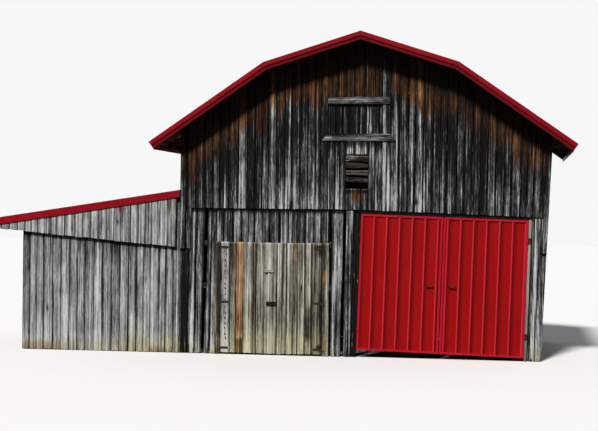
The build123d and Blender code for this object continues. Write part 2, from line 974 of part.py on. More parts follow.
with BuildPart() as upper_rafters:
    for side in (-1, 1):
        for y in rafter_y:
            with BuildSketch(facing_front(y + rafter_width / 2)):
                with BuildLine():
                    Polyline(
                        (ridge_x + side * (knee_top[0] - ridge_x), knee_top[1]),
                        (ridge_x + side * ridge_side, roof_height(ridge_x + ridge_side, batten_bottom)),
                        (ridge_x + side * ridge_side, roof_height(ridge_x + ridge_side, rafter_bottom)),
                        (ridge_x + side * (knee_foot[0] - ridge_x), knee_foot[1]),
                        close=True,
                    )
                make_face()
            extrude(amount=rafter_width)
        with Locations((ridge_x + side * knee_beam_x, 0, knee_beam_top - beam_height / 2)):
            Box(beam_width, wall_depth, beam_height, mode=Mode.SUBTRACT)
upper_rafters.part.label = "upper_rafters"
export_step(upper_rafters.part, "parts/upper_rafters.step")

ridge_board_top = roof_height(ridge_x + ridge_side, batten_bottom)
gable_inner_length = back_inside - front_inside

with BuildPart() as roof_beams:
    with Locations((ridge_x, 0, ridge_board_top - ridge_board_height / 2)):
        Box(ridge_board_width, gable_inner_length, ridge_board_height)
    for side in (-1, 1):
        with Locations((ridge_x + side * knee_beam_x, 0, knee_beam_top - beam_height / 2)):
            Box(beam_width, gable_inner_length, beam_height)
roof_beams.part.label = "roof_beams"
export_step(roof_beams.part, "parts/roof_beams.step")

with BuildPart() as knee_posts:
    with BuildSketch(Plane.XY.offset(loft_floor_top)):
        for side in (-1, 1):
            for y in (rafter_y[0] + rafter_width, rafter_y[-1] - rafter_width):
                with Locations((ridge_x + side * knee_beam_x, y)):
                    Rectangle(beam_width, rafter_width)
    extrude(amount=knee_beam_top - beam_height - loft_floor_top)
knee_posts.part.label = "knee_posts"
export_step(knee_posts.part, "parts/knee_posts.step")


def slope_plane(side, start, slope, drop):
    """A plane on a roof slope: local x runs up the slope from start, z points out of the roof."""
    run = start[0] - ridge_x
    origin = (
        ridge_x + side * (run - drop * sin(slope)),
        0,
        start[1] - drop * cos(slope),
    )
    return Plane(
        origin=origin,
        x_dir=(-side * cos(slope), 0, sin(slope)),
        z_dir=(side * sin(slope), 0, cos(slope)),
    )


eave_point = roof_line(0)[4]
knee_point = roof_line(0)[3]
lower_length = (roof_half_span - knee_offset) / cos(lower_slope)
upper_length = knee_offset / cos(upper_slope)
barge_inner = rake_overhang - trim_reveal - barge_thickness
batten_length = wall_depth + 2 * barge_inner
lean_to_plane = Plane(
    origin=(lean_to_tip + batten_bottom * sin(lean_to_slope), 0, lean_to_height(lean_to_tip, 0)
            - batten_bottom * cos(lean_to_slope)),
    x_dir=(cos(lean_to_slope), 0, sin(lean_to_slope)),
    z_dir=(-sin(lean_to_slope), 0, cos(lean_to_slope)),
)
lean_to_length = lean_to_run / cos(lean_to_slope)
lean_to_batten_length = wall_depth + 2 * (lean_to_verge - metal)

# Flat battens that carry the roof sheets
first_batten = (fascia_inset - pan_bottom * sin(lower_slope)) / cos(lower_slope) + batten_width / 2
lower_battens = evenly(first_batten + sheet_gap, lower_length - batten_width, 5)
upper_battens = evenly(batten_width, upper_length - 2 * batten_width, 4)
lean_to_battens = evenly(batten_width, lean_to_length - 2 * batten_width, 5)

with BuildPart() as roof_battens:
    for side in (-1, 1):
        with BuildSketch(slope_plane(side, eave_point, lower_slope, batten_bottom)):
            with Locations(*[(x, 0) for x in lower_battens]):
                Rectangle(batten_width, batten_length)
        extrude(amount=batten_thickness)
        with BuildSketch(slope_plane(side, knee_point, upper_slope, batten_bottom)):
            with Locations(*[(x, 0) for x in upper_battens]):
                Rectangle(batten_width, batten_length)
        extrude(amount=batten_thickness)
    with BuildSketch(lean_to_plane):
        with Locations(*[(x, 0) for x in lean_to_battens]):
            Rectangle(batten_width, lean_to_batten_length)
    extrude(amount=batten_thickness)
roof_battens.part.label = "roof_battens"
export_step(roof_battens.part, "parts/roof_battens.step")

# Ribbed roof sheets: one sheet profile, run up each slope
sheet_length = wall_depth + 2 * (rake_overhang - metal)
sheet_outline = ribbed_outline(-sheet_length / 2, sheet_length / 2, even_ribs(sheet_length), -pan_top)


def sheet_plane(side, start, slope):
    """A plane across a slope, at its foot: local x runs along the eave, y points out of the roof."""
    return Plane(
        origin=(ridge_x + side * (start[0] - ridge_x), 0, start[1]),
        x_dir=(0, -side, 0),
        z_dir=(-side * cos(slope), 0, sin(slope)),
    )


ridge_stop = upper_length - sheet_gap - pan_bottom * tan(upper_slope)

with BuildPart() as roof_sheet_left_lower:
    with BuildSketch(sheet_plane(-1, eave_point, lower_slope).offset(eave_inset)):
        with BuildLine():
            Polyline(*sheet_outline, close=True)
        make_face()
    extrude(amount=lower_length - eave_inset - sheet_gap)
roof_sheet_left_lower.part.label = "roof_sheet_left_lower"
export_step(roof_sheet_left_lower.part, "parts/roof_sheet_left_lower.step")

with BuildPart() as roof_sheet_right_lower:
    with BuildSketch(sheet_plane(1, eave_point, lower_slope).offset(eave_inset)):
        with BuildLine():
            Polyline(*sheet_outline, close=True)
        make_face()
    extrude(amount=lower_length - eave_inset - sheet_gap)
roof_sheet_right_lower.part.label = "roof_sheet_right_lower"
export_step(roof_sheet_right_lower.part, "parts/roof_sheet_right_lower.step")

with BuildPart() as roof_sheet_left_upper:
    with BuildSketch(sheet_plane(-1, knee_point, upper_slope).offset(sheet_gap)):
        with BuildLine():
            Polyline(*sheet_outline, close=True)
        make_face()
    extrude(amount=ridge_stop - sheet_gap)
roof_sheet_left_upper.part.label = "roof_sheet_left_upper"
export_step(roof_sheet_left_upper.part, "parts/roof_sheet_left_upper.step")

with BuildPart() as roof_sheet_right_upper:
    with BuildSketch(sheet_plane(1, knee_point, upper_slope).offset(sheet_gap)):
        with BuildLine():
            Polyline(*sheet_outline, close=True)
        make_face()
    extrude(amount=ridge_stop - sheet_gap)
roof_sheet_right_upper.part.label = "roof_sheet_right_upper"
export_step(roof_sheet_right_upper.part, "parts/roof_sheet_right_upper.step")

# Bent caps over the ridge and the two knees, between the rake trims
cap_length = wall_depth + 2 * (rake_overhang - trim_leg - metal)
ridge_outer = roof_line(0)[2]
ridge_inner = roof_line(metal)[2]
wing_x = cap_wing * cos(upper_slope)
wing_z = cap_wing * sin(upper_slope)
wing_inner_x = wing_x - metal * sin(upper_slope)
wing_inner_z = wing_z + metal * cos(upper_slope)


def cap_outline(side):
    """Outline of the bent strip over a knee."""
    outer = roof_line(0)[2 + side]
    inner = roof_line(metal)[2 + side]
    down = (side * cap_wing * cos(lower_slope), -cap_wing * sin(lower_slope))
    up = (-side * wing_x, wing_z)
    inner_down = (down[0] - side * metal * sin(lower_slope), down[1] - metal * cos(lower_slope))
    inner_up = (up[0] - side * metal * sin(upper_slope), up[1] - metal * cos(upper_slope))
    return [
        (outer[0] + down[0], outer[1] + down[1]),
        outer,
        (outer[0] + up[0], outer[1] + up[1]),
        (outer[0] + inner_up[0], outer[1] + inner_up[1]),
        inner,
        (outer[0] + inner_down[0], outer[1] + inner_down[1]),
    ]


with BuildPart() as roof_caps:
    with BuildSketch(facing_front(cap_length / 2)):
        with BuildLine():
            Polyline(
                (ridge_x - wing_x, ridge_outer[1] - wing_z),
                ridge_outer,
                (ridge_x + wing_x, ridge_outer[1] - wing_z),
                (ridge_x + wing_inner_x, ridge_outer[1] - wing_inner_z),
                ridge_inner,
                (ridge_x - wing_inner_x, ridge_outer[1] - wing_inner_z),
                close=True,
            )
        make_face()
        for side in (-1, 1):
            with BuildLine():
                Polyline(*cap_outline(side), close=True)
            make_face()
    extrude(amount=cap_length)
roof_caps.part.label = "roof_caps"
export_step(roof_caps.part, "parts/roof_caps.step")

# Barge boards, set back under two-step mitred rake trims, at the front and at the back
with BuildPart() as barge_boards:
    for y in (roof_front + trim_reveal + barge_thickness, roof_back - trim_reveal):
        with BuildSketch(facing_front(y)):
            with BuildLine():
                Polyline(*roof_band(pan_bottom, barge_face), close=True)
            make_face()
        extrude(amount=barge_thickness)
barge_boards.part.label = "barge_boards"
export_step(barge_boards.part, "parts/barge_boards.step")

with BuildPart() as rake_trims:
    for face_y, leg_y, hem_y in (
        (roof_front + metal, roof_front + trim_leg, roof_front + trim_reveal),
        (roof_back, roof_back, roof_back),
    ):
        with BuildSketch(facing_front(face_y)):
            with BuildLine():
                Polyline(*roof_band(0, trim_face), close=True)
            make_face()
        extrude(amount=metal)
        with BuildSketch(facing_front(leg_y)):
            with BuildLine():
                Polyline(*roof_band(0, metal), close=True)
            make_face()
        extrude(amount=trim_leg)
        with BuildSketch(facing_front(hem_y)):
            with BuildLine():
                Polyline(*roof_band(trim_face - metal, trim_face), close=True)
            make_face()
        extrude(amount=trim_reveal)
rake_trims.part.label = "rake_trims"
export_step(rake_trims.part, "parts/rake_trims.step")

# Eave fascias over the open rafter tails, between the barge boards
with BuildPart() as eave_fascias:
    for side in (-1, 1):
        with BuildSketch(facing_front(batten_length / 2)):
            with BuildLine():
                Polyline(
                    (ridge_x + side * fascia_x, fascia_foot),
                    (ridge_x + side * (fascia_x + fascia_thickness), fascia_foot),
                    (
                        ridge_x + side * (fascia_x + fascia_thickness),
                        roof_height(ridge_x + fascia_x + fascia_thickness, pan_bottom),
                    ),
                    (ridge_x + side * fascia_x, roof_height(ridge_x + fascia_x, pan_bottom)),
                    close=True,
                )
            make_face()
        extrude(amount=batten_length)
eave_fascias.part.label = "eave_fascias"
export_step(eave_fascias.part, "parts/eave_fascias.step")

# Lean-to: front, left and back walls, and the apron that a bearer holds off the front wall
lean_to_wall_top = lean_to_height(lean_to_left, batten_bottom)
lean_to_wall_head = lean_to_height(left, batten_bottom)

with BuildPart() as lean_to_front_wall:
    with BuildSketch(facing_front(front_inside)):
        with BuildLine():
            Polyline(
                (lean_to_left, 0),
                (left, 0),
                (left, lean_to_wall_head),
                (lean_to_left, lean_to_wall_top),
                close=True,
            )
        make_face()
    extrude(amount=board_thickness)
lean_to_front_wall.part.label = "lean_to_front_wall"
export_step(lean_to_front_wall.part, "parts/lean_to_front_wall.step")

with BuildPart() as lean_to_back_wall:
    with BuildSketch(facing_front(back)):
        with BuildLine():
            Polyline(
                (lean_to_left, 0),
                (left, 0),
                (left, lean_to_wall_head),
                (lean_to_left, lean_to_wall_top),
                close=True,
            )
        make_face()
    extrude(amount=board_thickness)
lean_to_back_wall.part.label = "lean_to_back_wall"
export_step(lean_to_back_wall.part, "parts/lean_to_back_wall.step")

lean_to_side_top = lean_to_height(lean_to_left, lean_to_rafter_bottom)

with BuildPart() as lean_to_left_wall:
    with BuildSketch(Plane.XY):
        with Locations((lean_to_left + board_thickness / 2, 0)):
            Rectangle(board_thickness, back_inside - front_inside)
    extrude(amount=lean_to_side_top)
lean_to_left_wall.part.label = "lean_to_left_wall"
export_step(lean_to_left_wall.part, "parts/lean_to_left_wall.step")

apron_left = lean_to_tip + apron_inset
apron_right = left - apron_gap

with BuildPart() as lean_to_apron:
    with BuildSketch(facing_front(front)):
        with BuildLine():
            Polyline(
                (apron_left, lean_to_height(apron_left, batten_bottom + apron_bearer_height)),
                (apron_right, lean_to_height(apron_right, batten_bottom + apron_bearer_height)),
                (apron_right, lean_to_height(apron_right, batten_bottom)),
                (apron_left, lean_to_height(apron_left, batten_bottom)),
                close=True,
            )
        make_face()
    extrude(amount=apron_stand_off)
    with BuildSketch(facing_front(front - apron_stand_off)):
        with BuildLine():
            Polyline(
                (apron_left, apron_foot_left),
                (apron_right, apron_foot_right),
                (apron_right, lean_to_height(apron_right, batten_bottom)),
                (apron_left, lean_to_height(apron_left, batten_bottom)),
                close=True,
            )
        make_face()
    extrude(amount=board_thickness)
lean_to_apron.part.label = "lean_to_apron"
export_step(lean_to_apron.part, "parts/lean_to_apron.step")

# Lean-to rafters, from the ledger on the barn's side wall to the plate and on past it
lean_to_fascia_x = lean_to_tip + lean_to_fascia_inset
lean_to_rafter_y = evenly(
    front_inside + rafter_width / 2, back_inside - rafter_width / 2, lean_to_rafters_count
)
ledger_face = left - ledger_width

with BuildPart() as lean_to_rafters:
    for y in lean_to_rafter_y:
        with BuildSketch(facing_front(y + rafter_width / 2)):
            with BuildLine():
                Polyline(
                    (ledger_face, lean_to_height(ledger_face, batten_bottom)),
                    (lean_to_fascia_x, lean_to_height(lean_to_fascia_x, batten_bottom)),
                    (lean_to_fascia_x, lean_to_height(lean_to_fascia_x, lean_to_tail_bottom)),
                    (lean_to_left, lean_to_height(lean_to_left, lean_to_rafter_bottom)),
                    (ledger_face, lean_to_height(ledger_face, lean_to_rafter_bottom)),
                    close=True,
                )
            make_face()
        extrude(amount=rafter_width)
    with Locations((lean_to_post_x, 0, lean_to_plate_top - plate_height / 2)):
        Box(lean_to_post_size, wall_depth, plate_height, mode=Mode.SUBTRACT)
lean_to_rafters.part.label = "lean_to_rafters"
export_step(lean_to_rafters.part, "parts/lean_to_rafters.step")

# Lean-to roof sheet and its trim: two verges and the low eave
lean_to_sheet_length = wall_depth + 2 * (lean_to_verge - metal)
lean_to_outline = ribbed_outline(
    -lean_to_sheet_length / 2, lean_to_sheet_length / 2, even_ribs(lean_to_sheet_length), -pan_top
)
lean_to_sheet_plane = Plane(
    origin=(lean_to_tip, 0, lean_to_low),
    x_dir=(0, 1, 0),
    z_dir=(cos(lean_to_slope), 0, sin(lean_to_slope)),
)

with BuildPart() as lean_to_roof_sheet:
    with BuildSketch(lean_to_sheet_plane.offset(eave_inset)):
        with BuildLine():
            Polyline(*lean_to_outline, close=True)
        make_face()
    extrude(amount=lean_to_length - eave_inset - sheet_gap)
lean_to_roof_sheet.part.label = "lean_to_roof_sheet"
export_step(lean_to_roof_sheet.part, "parts/lean_to_roof_sheet.step")


def lean_to_band(outer, inner):
    """Outline of the strip between two lines along the lean-to roof."""
    stop = left - lower_board_top_gap
    return [
        (lean_to_tip, lean_to_height(lean_to_tip, outer)),
        (stop, lean_to_height(stop, outer)),
        (stop, lean_to_height(stop, inner)),
        (lean_to_tip, lean_to_height(lean_to_tip, inner)),
    ]


with BuildPart() as lean_to_verge_trims:
    for face_y, leg_y in ((lean_to_front + metal, lean_to_front + trim_leg), (lean_to_back, lean_to_back)):
        with BuildSketch(facing_front(face_y)):
            with BuildLine():
                Polyline(*lean_to_band(0, lean_to_trim_face), close=True)
            make_face()
        extrude(amount=metal)
        with BuildSketch(facing_front(leg_y)):
            with BuildLine():
                Polyline(*lean_to_band(0, metal), close=True)
            make_face()
        extrude(amount=trim_leg)
    for hem_y, hem in (
        (front - apron_stand_off - board_thickness, lean_to_verge - apron_stand_off - board_thickness),
        (lean_to_back, lean_to_verge),
    ):
        with BuildSketch(facing_front(hem_y)):
            with BuildLine():
                Polyline(*lean_to_band(lean_to_trim_face - metal, lean_to_trim_face), close=True)
            make_face()
        extrude(amount=hem)
lean_to_verge_trims.part.label = "lean_to_verge_trims"
export_step(lean_to_verge_trims.part, "parts/lean_to_verge_trims.step")

lean_to_fascia_length = back_inside - front_inside
fascia_left = lean_to_fascia_x - fascia_thickness

with BuildPart() as lean_to_fascia:
    with BuildSketch(facing_front(lean_to_fascia_length / 2)):
        with BuildLine():
            Polyline(
                (fascia_left, lean_to_height(lean_to_fascia_x, lean_to_tail_bottom)),
                (lean_to_fascia_x, lean_to_height(lean_to_fascia_x, lean_to_tail_bottom)),
                (lean_to_fascia_x, lean_to_height(lean_to_fascia_x, pan_bottom)),
                (fascia_left, lean_to_height(fascia_left, pan_bottom)),
                close=True,
            )
        make_face()
    extrude(amount=lean_to_fascia_length)
lean_to_fascia.part.label = "lean_to_fascia"
export_step(lean_to_fascia.part, "parts/lean_to_fascia.step")

# Wooden doors: boards on three ledges, the left leaf with a wooden handle
leaf_back = front - wood_door_back_gap
leaf_face = front - wood_door_proud
leaf_thickness = wood_door_proud - wood_door_back_gap
left_leaf = (left + wood_door_left_x + wood_door_gap, left + wood_door_seam_x - wood_seam_gap / 2)
right_leaf = (left + wood_door_right_x - wood_door_gap, left + wood_door_seam_x + wood_seam_gap / 2)

wood_handle_x = left + wood_door_seam_x - wood_handle_from_seam

with BuildPart() as wood_door_left:
    with BuildSketch(facing_front(leaf_back)):
        with BuildLine():
            Polyline(
                (left_leaf[0], wood_door_ground_gap),
                (left_leaf[1], wood_door_ground_gap - wood_door_sag),
                (left_leaf[1], wood_door_height - wood_door_sag),
                (left_leaf[0], wood_door_height),
                close=True,
            )
        make_face()
    extrude(amount=leaf_thickness)
    for z in ledge_heights:
        with Locations(((left_leaf[0] + left_leaf[1]) / 2, leaf_back + ledge_thickness / 2, z)):
            Box(left_leaf[1] - left_leaf[0] - 2 * ledge_inset, ledge_thickness, ledge_height)
    for z in wood_handle_blocks:
        with Locations((wood_handle_x, leaf_face - wood_handle_depth / 2, z)):
            Box(wood_handle_block_width, wood_handle_depth, wood_handle_block_height)
    with Locations(
        (
            wood_handle_x + wood_handle_bar_shift,
            leaf_face - wood_handle_bar_depth / 2,
            sum(wood_handle_blocks) / 2,
        )
    ):
        Box(wood_handle_bar_width, wood_handle_bar_depth, wood_handle_blocks[1] - wood_handle_blocks[0])
wood_door_left.part.label = "wood_door_left"
export_step(wood_door_left.part, "parts/wood_door_left.step")

with BuildPart() as wood_door_right:
    with BuildSketch(facing_front(leaf_back)):
        with BuildLine():
            Polyline(
                (right_leaf[0], wood_door_ground_gap),
                (right_leaf[1], wood_door_ground_gap - wood_door_sag),
                (right_leaf[1], wood_door_height - wood_door_sag),
                (right_leaf[0], wood_door_height),
                close=True,
            )
        make_face()
    extrude(amount=leaf_thickness)
    for z in ledge_heights:
        with Locations(((right_leaf[0] + right_leaf[1]) / 2, leaf_back + ledge_thickness / 2, z)):
            Box(right_leaf[0] - right_leaf[1] - 2 * ledge_inset, ledge_thickness, ledge_height)
wood_door_right.part.label = "wood_door_right"
export_step(wood_door_right.part, "parts/wood_door_right.step")

# Strap hinges: a strap on the leaf, ending in a barrel in front of the gap
wood_axis_y = leaf_face - hinge_axis_reach

with BuildPart() as wood_hinges_left:
    axis_x = left + wood_door_left_x + wood_door_gap / 2
    for z in strap_heights:
        with Locations((axis_x, wood_axis_y, z)):
            Cylinder(hinge_pin_radius, strap_height)
        with Locations((axis_x + strap_length / 2, leaf_face - strap_thickness / 2, z)):
            Box(strap_length, strap_thickness, strap_height)
wood_hinges_left.part.label = "wood_hinges_left"
export_step(wood_hinges_left.part, "parts/wood_hinges_left.step")

with BuildPart() as wood_hinges_right:
    axis_x = left + wood_door_right_x - wood_door_gap / 2
    for z in strap_heights:
        with Locations((axis_x, wood_axis_y, z)):
            Cylinder(hinge_pin_radius, strap_height)
        with Locations((axis_x - strap_length / 2, leaf_face - strap_thickness / 2, z)):
            Box(strap_length, strap_thickness, strap_height)
wood_hinges_right.part.label = "wood_hinges_right"
export_step(wood_hinges_right.part, "parts/wood_hinges_right.step")

# Pintles: a short knuckle under each strap's barrel, on a plate on the casing
with BuildPart() as wood_door_pintles:
    for axis_x, side in (
        (left + wood_door_left_x + wood_door_gap / 2, -1),
        (left + wood_door_right_x - wood_door_gap / 2, 1),
    ):
        for strap_z in strap_heights:
            z = strap_z - strap_height / 2 - hinge_play - pintle_height / 2
            with Locations((axis_x, wood_axis_y, z)):
                Cylinder(hinge_pin_radius, pintle_height)
            with Locations((axis_x + side * pintle_plate / 2, leaf_face - strap_thickness / 2, z)):
                Box(pintle_plate, strap_thickness, pintle_height)
wood_door_pintles.part.label = "wood_door_pintles"
export_step(wood_door_pintles.part, "parts/wood_door_pintles.step")

# Red metal doors: a frame, a ribbed sheet set into it and a pull on each leaf
def bay_plane(y):
    """The tilted plane of the red door bay at the depth y, facing the front."""
    tilt = radians(bay_tilt)
    x, z = bay_point(0, 0)
    return Plane(origin=(x, y, z), x_dir=(cos(tilt), 0, -sin(tilt)), z_dir=(0, -1, 0))


def bay_floor(v):
    """The plane across the bay at v, whose y points to the back and whose normal runs up the doors."""
    tilt = radians(bay_tilt)
    x, z = bay_point(0, v)
    return Plane(origin=(x, front, z), x_dir=(cos(tilt), 0, -sin(tilt)), z_dir=(sin(tilt), 0, cos(tilt)))


red_half_width = red_door_width / 2
red_half_height = red_door_height / 2
red_face = front - red_frame_proud
red_axis_y = red_face - hinge_axis_reach
red_axis_u = red_half_width + red_door_gap / 2
red_frame_back = red_face + red_frame_depth
sheet_bottom = -red_half_height + red_frame_width
left_span = (-red_half_width, red_seam_offset - red_seam_gap / 2)
right_span = (red_seam_offset + red_seam_gap / 2, red_half_width)
rib_room = red_frame_width + rib_base / 2
left_rib_run = left_span[1] - rib_room - (left_span[0] + red_rib_edge_left)
right_rib_run = right_span[1] - red_rib_edge_right - (right_span[0] + rib_room)
left_ribs = [
    left_span[0] + red_rib_edge_left + i * rib_pitch for i in range(int(left_rib_run / rib_pitch) + 1)
]
right_ribs = [
    right_span[1] - red_rib_edge_right - i * rib_pitch
    for i in reversed(range(int(right_rib_run / rib_pitch) + 1))
]
red_rail_levels = evenly(-red_half_height, red_half_height, 4)[1:3]

with BuildPart() as red_door_left_frame:
    with BuildSketch(bay_plane(red_frame_back)):
        with Locations(((left_span[0] + left_span[1]) / 2, 0)):
            Rectangle(left_span[1] - left_span[0], red_door_height)
            Rectangle(
                left_span[1] - left_span[0] - 2 * red_frame_width,
                red_door_height - 2 * red_frame_width,
                mode=Mode.SUBTRACT,
            )
    extrude(amount=red_frame_depth)
    with BuildSketch(bay_plane(red_frame_back)):
        with Locations(*[((left_span[0] + left_span[1]) / 2, v) for v in red_rail_levels]):
            Rectangle(left_span[1] - left_span[0] - 2 * red_frame_width, red_door_rail)
    extrude(amount=red_frame_back - front - red_sheet_back)
    for v in red_hinge_heights:
        with BuildSketch(bay_floor(v - red_knuckle / 2)):
            with Locations((-red_axis_u, red_axis_y - front)):
                Circle(hinge_pin_radius)
            with Locations((-(red_axis_u - red_frame_width / 2), red_face - front - strap_thickness / 2)):
                Rectangle(red_frame_width, strap_thickness)
        extrude(amount=red_knuckle)
red_door_left_frame.part.label = "red_door_left_frame"
export_step(red_door_left_frame.part, "parts/red_door_left_frame.step")

with BuildPart() as red_door_right_frame:
    with BuildSketch(bay_plane(red_frame_back)):
        with Locations(((right_span[0] + right_span[1]) / 2, 0)):
            Rectangle(right_span[1] - right_span[0], red_door_height)
            Rectangle(
                right_span[1] - right_span[0] - 2 * red_frame_width,
                red_door_height - 2 * red_frame_width,
                mode=Mode.SUBTRACT,
            )
    extrude(amount=red_frame_depth)
    with BuildSketch(bay_plane(red_frame_back)):
        with Locations(*[((right_span[0] + right_span[1]) / 2, v) for v in red_rail_levels]):
            Rectangle(right_span[1] - right_span[0] - 2 * red_frame_width, red_door_rail)
    extrude(amount=red_frame_back - front - red_sheet_back)
    for v in red_hinge_heights:
        with BuildSketch(bay_floor(v - red_knuckle / 2)):
            with Locations((red_axis_u, red_axis_y - front)):
                Circle(hinge_pin_radius)
            with Locations((red_axis_u - red_frame_width / 2, red_face - front - strap_thickness / 2)):
                Rectangle(red_frame_width, strap_thickness)
        extrude(amount=red_knuckle)
red_door_right_frame.part.label = "red_door_right_frame"
export_step(red_door_right_frame.part, "parts/red_door_right_frame.step")


def door_sheet_outline(span, ribs):
    """Outline of a leaf's ribbed sheet, seen from above, with its ribs towards the front."""
    outline = ribbed_outline(
        span[0] + red_frame_width, span[1] - red_frame_width, ribs, metal - red_sheet_back
    )
    return [(u, -y) for u, y in outline]


with BuildPart() as red_door_left_sheet:
    with BuildSketch(bay_floor(sheet_bottom)):
        with BuildLine():
            Polyline(*door_sheet_outline(left_span, left_ribs), close=True)
        make_face()
    extrude(amount=red_door_height - 2 * red_frame_width)
red_door_left_sheet.part.label = "red_door_left_sheet"
export_step(red_door_left_sheet.part, "parts/red_door_left_sheet.step")

with BuildPart() as red_door_right_sheet:
    with BuildSketch(bay_floor(sheet_bottom)):
        with BuildLine():
            Polyline(*door_sheet_outline(right_span, right_ribs), close=True)
        make_face()
    extrude(amount=red_door_height - 2 * red_frame_width)
red_door_right_sheet.part.label = "red_door_right_sheet"
export_step(red_door_right_sheet.part, "parts/red_door_right_sheet.step")

pan_face = front + red_sheet_back - metal

with BuildPart() as red_door_left_pull:
    middle = (left_ribs[-1] + left_ribs[-2]) / 2
    feet = [(middle - handle_length / 2, handle_height), (middle + handle_length / 2, handle_height)]
    with BuildSketch(bay_plane(pan_face)):
        with Locations(*feet):
            Circle(rose_radius)
    extrude(amount=rose_thickness)
    with BuildSketch(bay_plane(pan_face)):
        with Locations(*feet):
            Circle(handle_radius)
    extrude(amount=handle_reach)
    with BuildSketch(bay_plane(pan_face - handle_reach + handle_radius)):
        with Locations((middle, handle_height)):
            SlotCenterToCenter(handle_length, 2 * handle_radius)
    extrude(amount=2 * handle_radius)
red_door_left_pull.part.label = "red_door_left_pull"
export_step(red_door_left_pull.part, "parts/red_door_left_pull.step")

with BuildPart() as red_door_right_pull:
    middle = (right_ribs[0] + right_ribs[1]) / 2
    feet = [(middle - handle_length / 2, handle_height), (middle + handle_length / 2, handle_height)]
    with BuildSketch(bay_plane(pan_face)):
        with Locations(*feet):
            Circle(rose_radius)
    extrude(amount=rose_thickness)
    with BuildSketch(bay_plane(pan_face)):
        with Locations(*feet):
            Circle(handle_radius)
    extrude(amount=handle_reach)
    with BuildSketch(bay_plane(pan_face - handle_reach + handle_radius)):
        with Locations((middle, handle_height)):
            SlotCenterToCenter(handle_length, 2 * handle_radius)
    extrude(amount=2 * handle_radius)
red_door_right_pull.part.label = "red_door_right_pull"
export_step(red_door_right_pull.part, "parts/red_door_right_pull.step")

# Hinges of the red doors: plates on the jambs, with a knuckle above and below the leaf's own
plate_face = front - right_jamb_proud
knuckle_room = red_knuckle + 2 * hinge_play
plate_start = red_axis_y + hinge_pin_radius + hinge_play
left_plate = front + left_jamb_recess + jamb_depth - plate_start
outer_knuckle = (red_hinge_length - knuckle_room) / 2

with BuildPart() as red_door_hinges:
    for v in red_hinge_heights:
        for start in (v - red_hinge_length / 2, v + knuckle_room / 2):
            with BuildSketch(bay_floor(start)):
                with Locations((-red_axis_u, red_axis_y - front), (red_axis_u, red_axis_y - front)):
                    Circle(hinge_pin_radius)
                with Locations((-jamb_inner + metal / 2, (red_axis_y + plate_start) / 2 - front)):
                    Rectangle(metal, plate_start - red_axis_y)
                with Locations((jamb_inner + metal / 2, (red_axis_y + plate_face) / 2 - front)):
                    Rectangle(metal, plate_face - red_axis_y)
            extrude(amount=outer_knuckle)
        with BuildSketch(bay_floor(v - red_hinge_length / 2)):
            with Locations((-jamb_inner + metal / 2, plate_start + left_plate / 2 - front)):
                Rectangle(metal, left_plate)
            with Locations((jamb_inner + jamb_width / 2, plate_face - front - strap_thickness / 2)):
                Rectangle(jamb_width, strap_thickness)
        extrude(amount=red_hinge_length)
red_door_hinges.part.label = "red_door_hinges"
export_step(red_door_hinges.part, "parts/red_door_hinges.step")
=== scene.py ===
"""Looks for the gambrel barn with a lean-to: weathered boards, red sheet metal, old iron."""

import random
from math import atan2, cos, hypot, pi, radians, sin, tan

import bpy
from mathutils import Matrix, Vector, noise
from mathutils.bvhtree import BVHTree


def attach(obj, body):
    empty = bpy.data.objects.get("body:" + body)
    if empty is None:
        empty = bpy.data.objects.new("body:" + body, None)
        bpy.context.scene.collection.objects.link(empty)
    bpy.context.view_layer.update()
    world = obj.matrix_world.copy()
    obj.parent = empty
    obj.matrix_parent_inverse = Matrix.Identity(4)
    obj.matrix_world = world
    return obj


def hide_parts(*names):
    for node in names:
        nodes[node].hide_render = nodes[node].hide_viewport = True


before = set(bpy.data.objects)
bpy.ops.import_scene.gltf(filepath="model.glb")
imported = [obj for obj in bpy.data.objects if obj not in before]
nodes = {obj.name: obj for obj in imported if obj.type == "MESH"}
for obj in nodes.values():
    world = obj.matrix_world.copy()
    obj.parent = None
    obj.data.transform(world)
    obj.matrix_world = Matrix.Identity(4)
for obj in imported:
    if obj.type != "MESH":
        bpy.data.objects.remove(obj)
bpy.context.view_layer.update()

# Places of the building, in metres, in the frame of the solids
LEFT, RIGHT = -1.7775, 4.8225
FRONT, BACK = -2.16, 2.16
RIDGE_X, HALF_SPAN, KNEE_RUN = 1.5225, 3.805, 1.735
EAVE, KNEE, RIDGE = 3.824, 5.252, 5.802
LEAN_WIDTH, LEAN_RUN, LEAN_EAVE, LEAN_HEAD = 2.97, 3.55, 2.41, 2.97
LOWER_SLOPE = atan2(KNEE - EAVE, HALF_SPAN - KNEE_RUN)
UPPER_SLOPE = atan2(RIDGE - KNEE, KNEE_RUN)
LEAN_SLOPE = atan2(LEAN_HEAD - LEAN_EAVE, LEAN_RUN)
BATTEN_DROP, RAFTER_DROP, LEAN_RAFTER_DROP = 0.05, 0.19, 0.17
BOARD = 0.025
GROUND_CLEAR = 0.002
SKIRT, SKIRT_BEND, SKIRT_FALL = 2.642, LEFT + 3.23, 0.105
BOARD_TOP = SKIRT + 0.12
WALL_LEAN, PLUMB_AT = radians(2.45), 2.15
TILT = radians(1.6)
BAY_X, BAY_Z = LEFT + 4.756, 1.315
RIB_PITCH = 0.2286
DOOR_RIBS = {"left": -1.24, "right": 1.218}
X_AXIS, Y_AXIS, Z_AXIS = 0, 1, 2
OUTWARD, INWARD, DOWN = (0, -1, 0), (0, 1, 0), (0, 0, -1)


def roof_height(x, drop):
    """Height of the main roof's outline, moved in by drop, at x."""
    run = abs(x - RIDGE_X)
    low = EAVE + (HALF_SPAN - run) * tan(LOWER_SLOPE) - drop / cos(LOWER_SLOPE)
    high = RIDGE - run * tan(UPPER_SLOPE) - drop / cos(UPPER_SLOPE)
    return min(low, high)


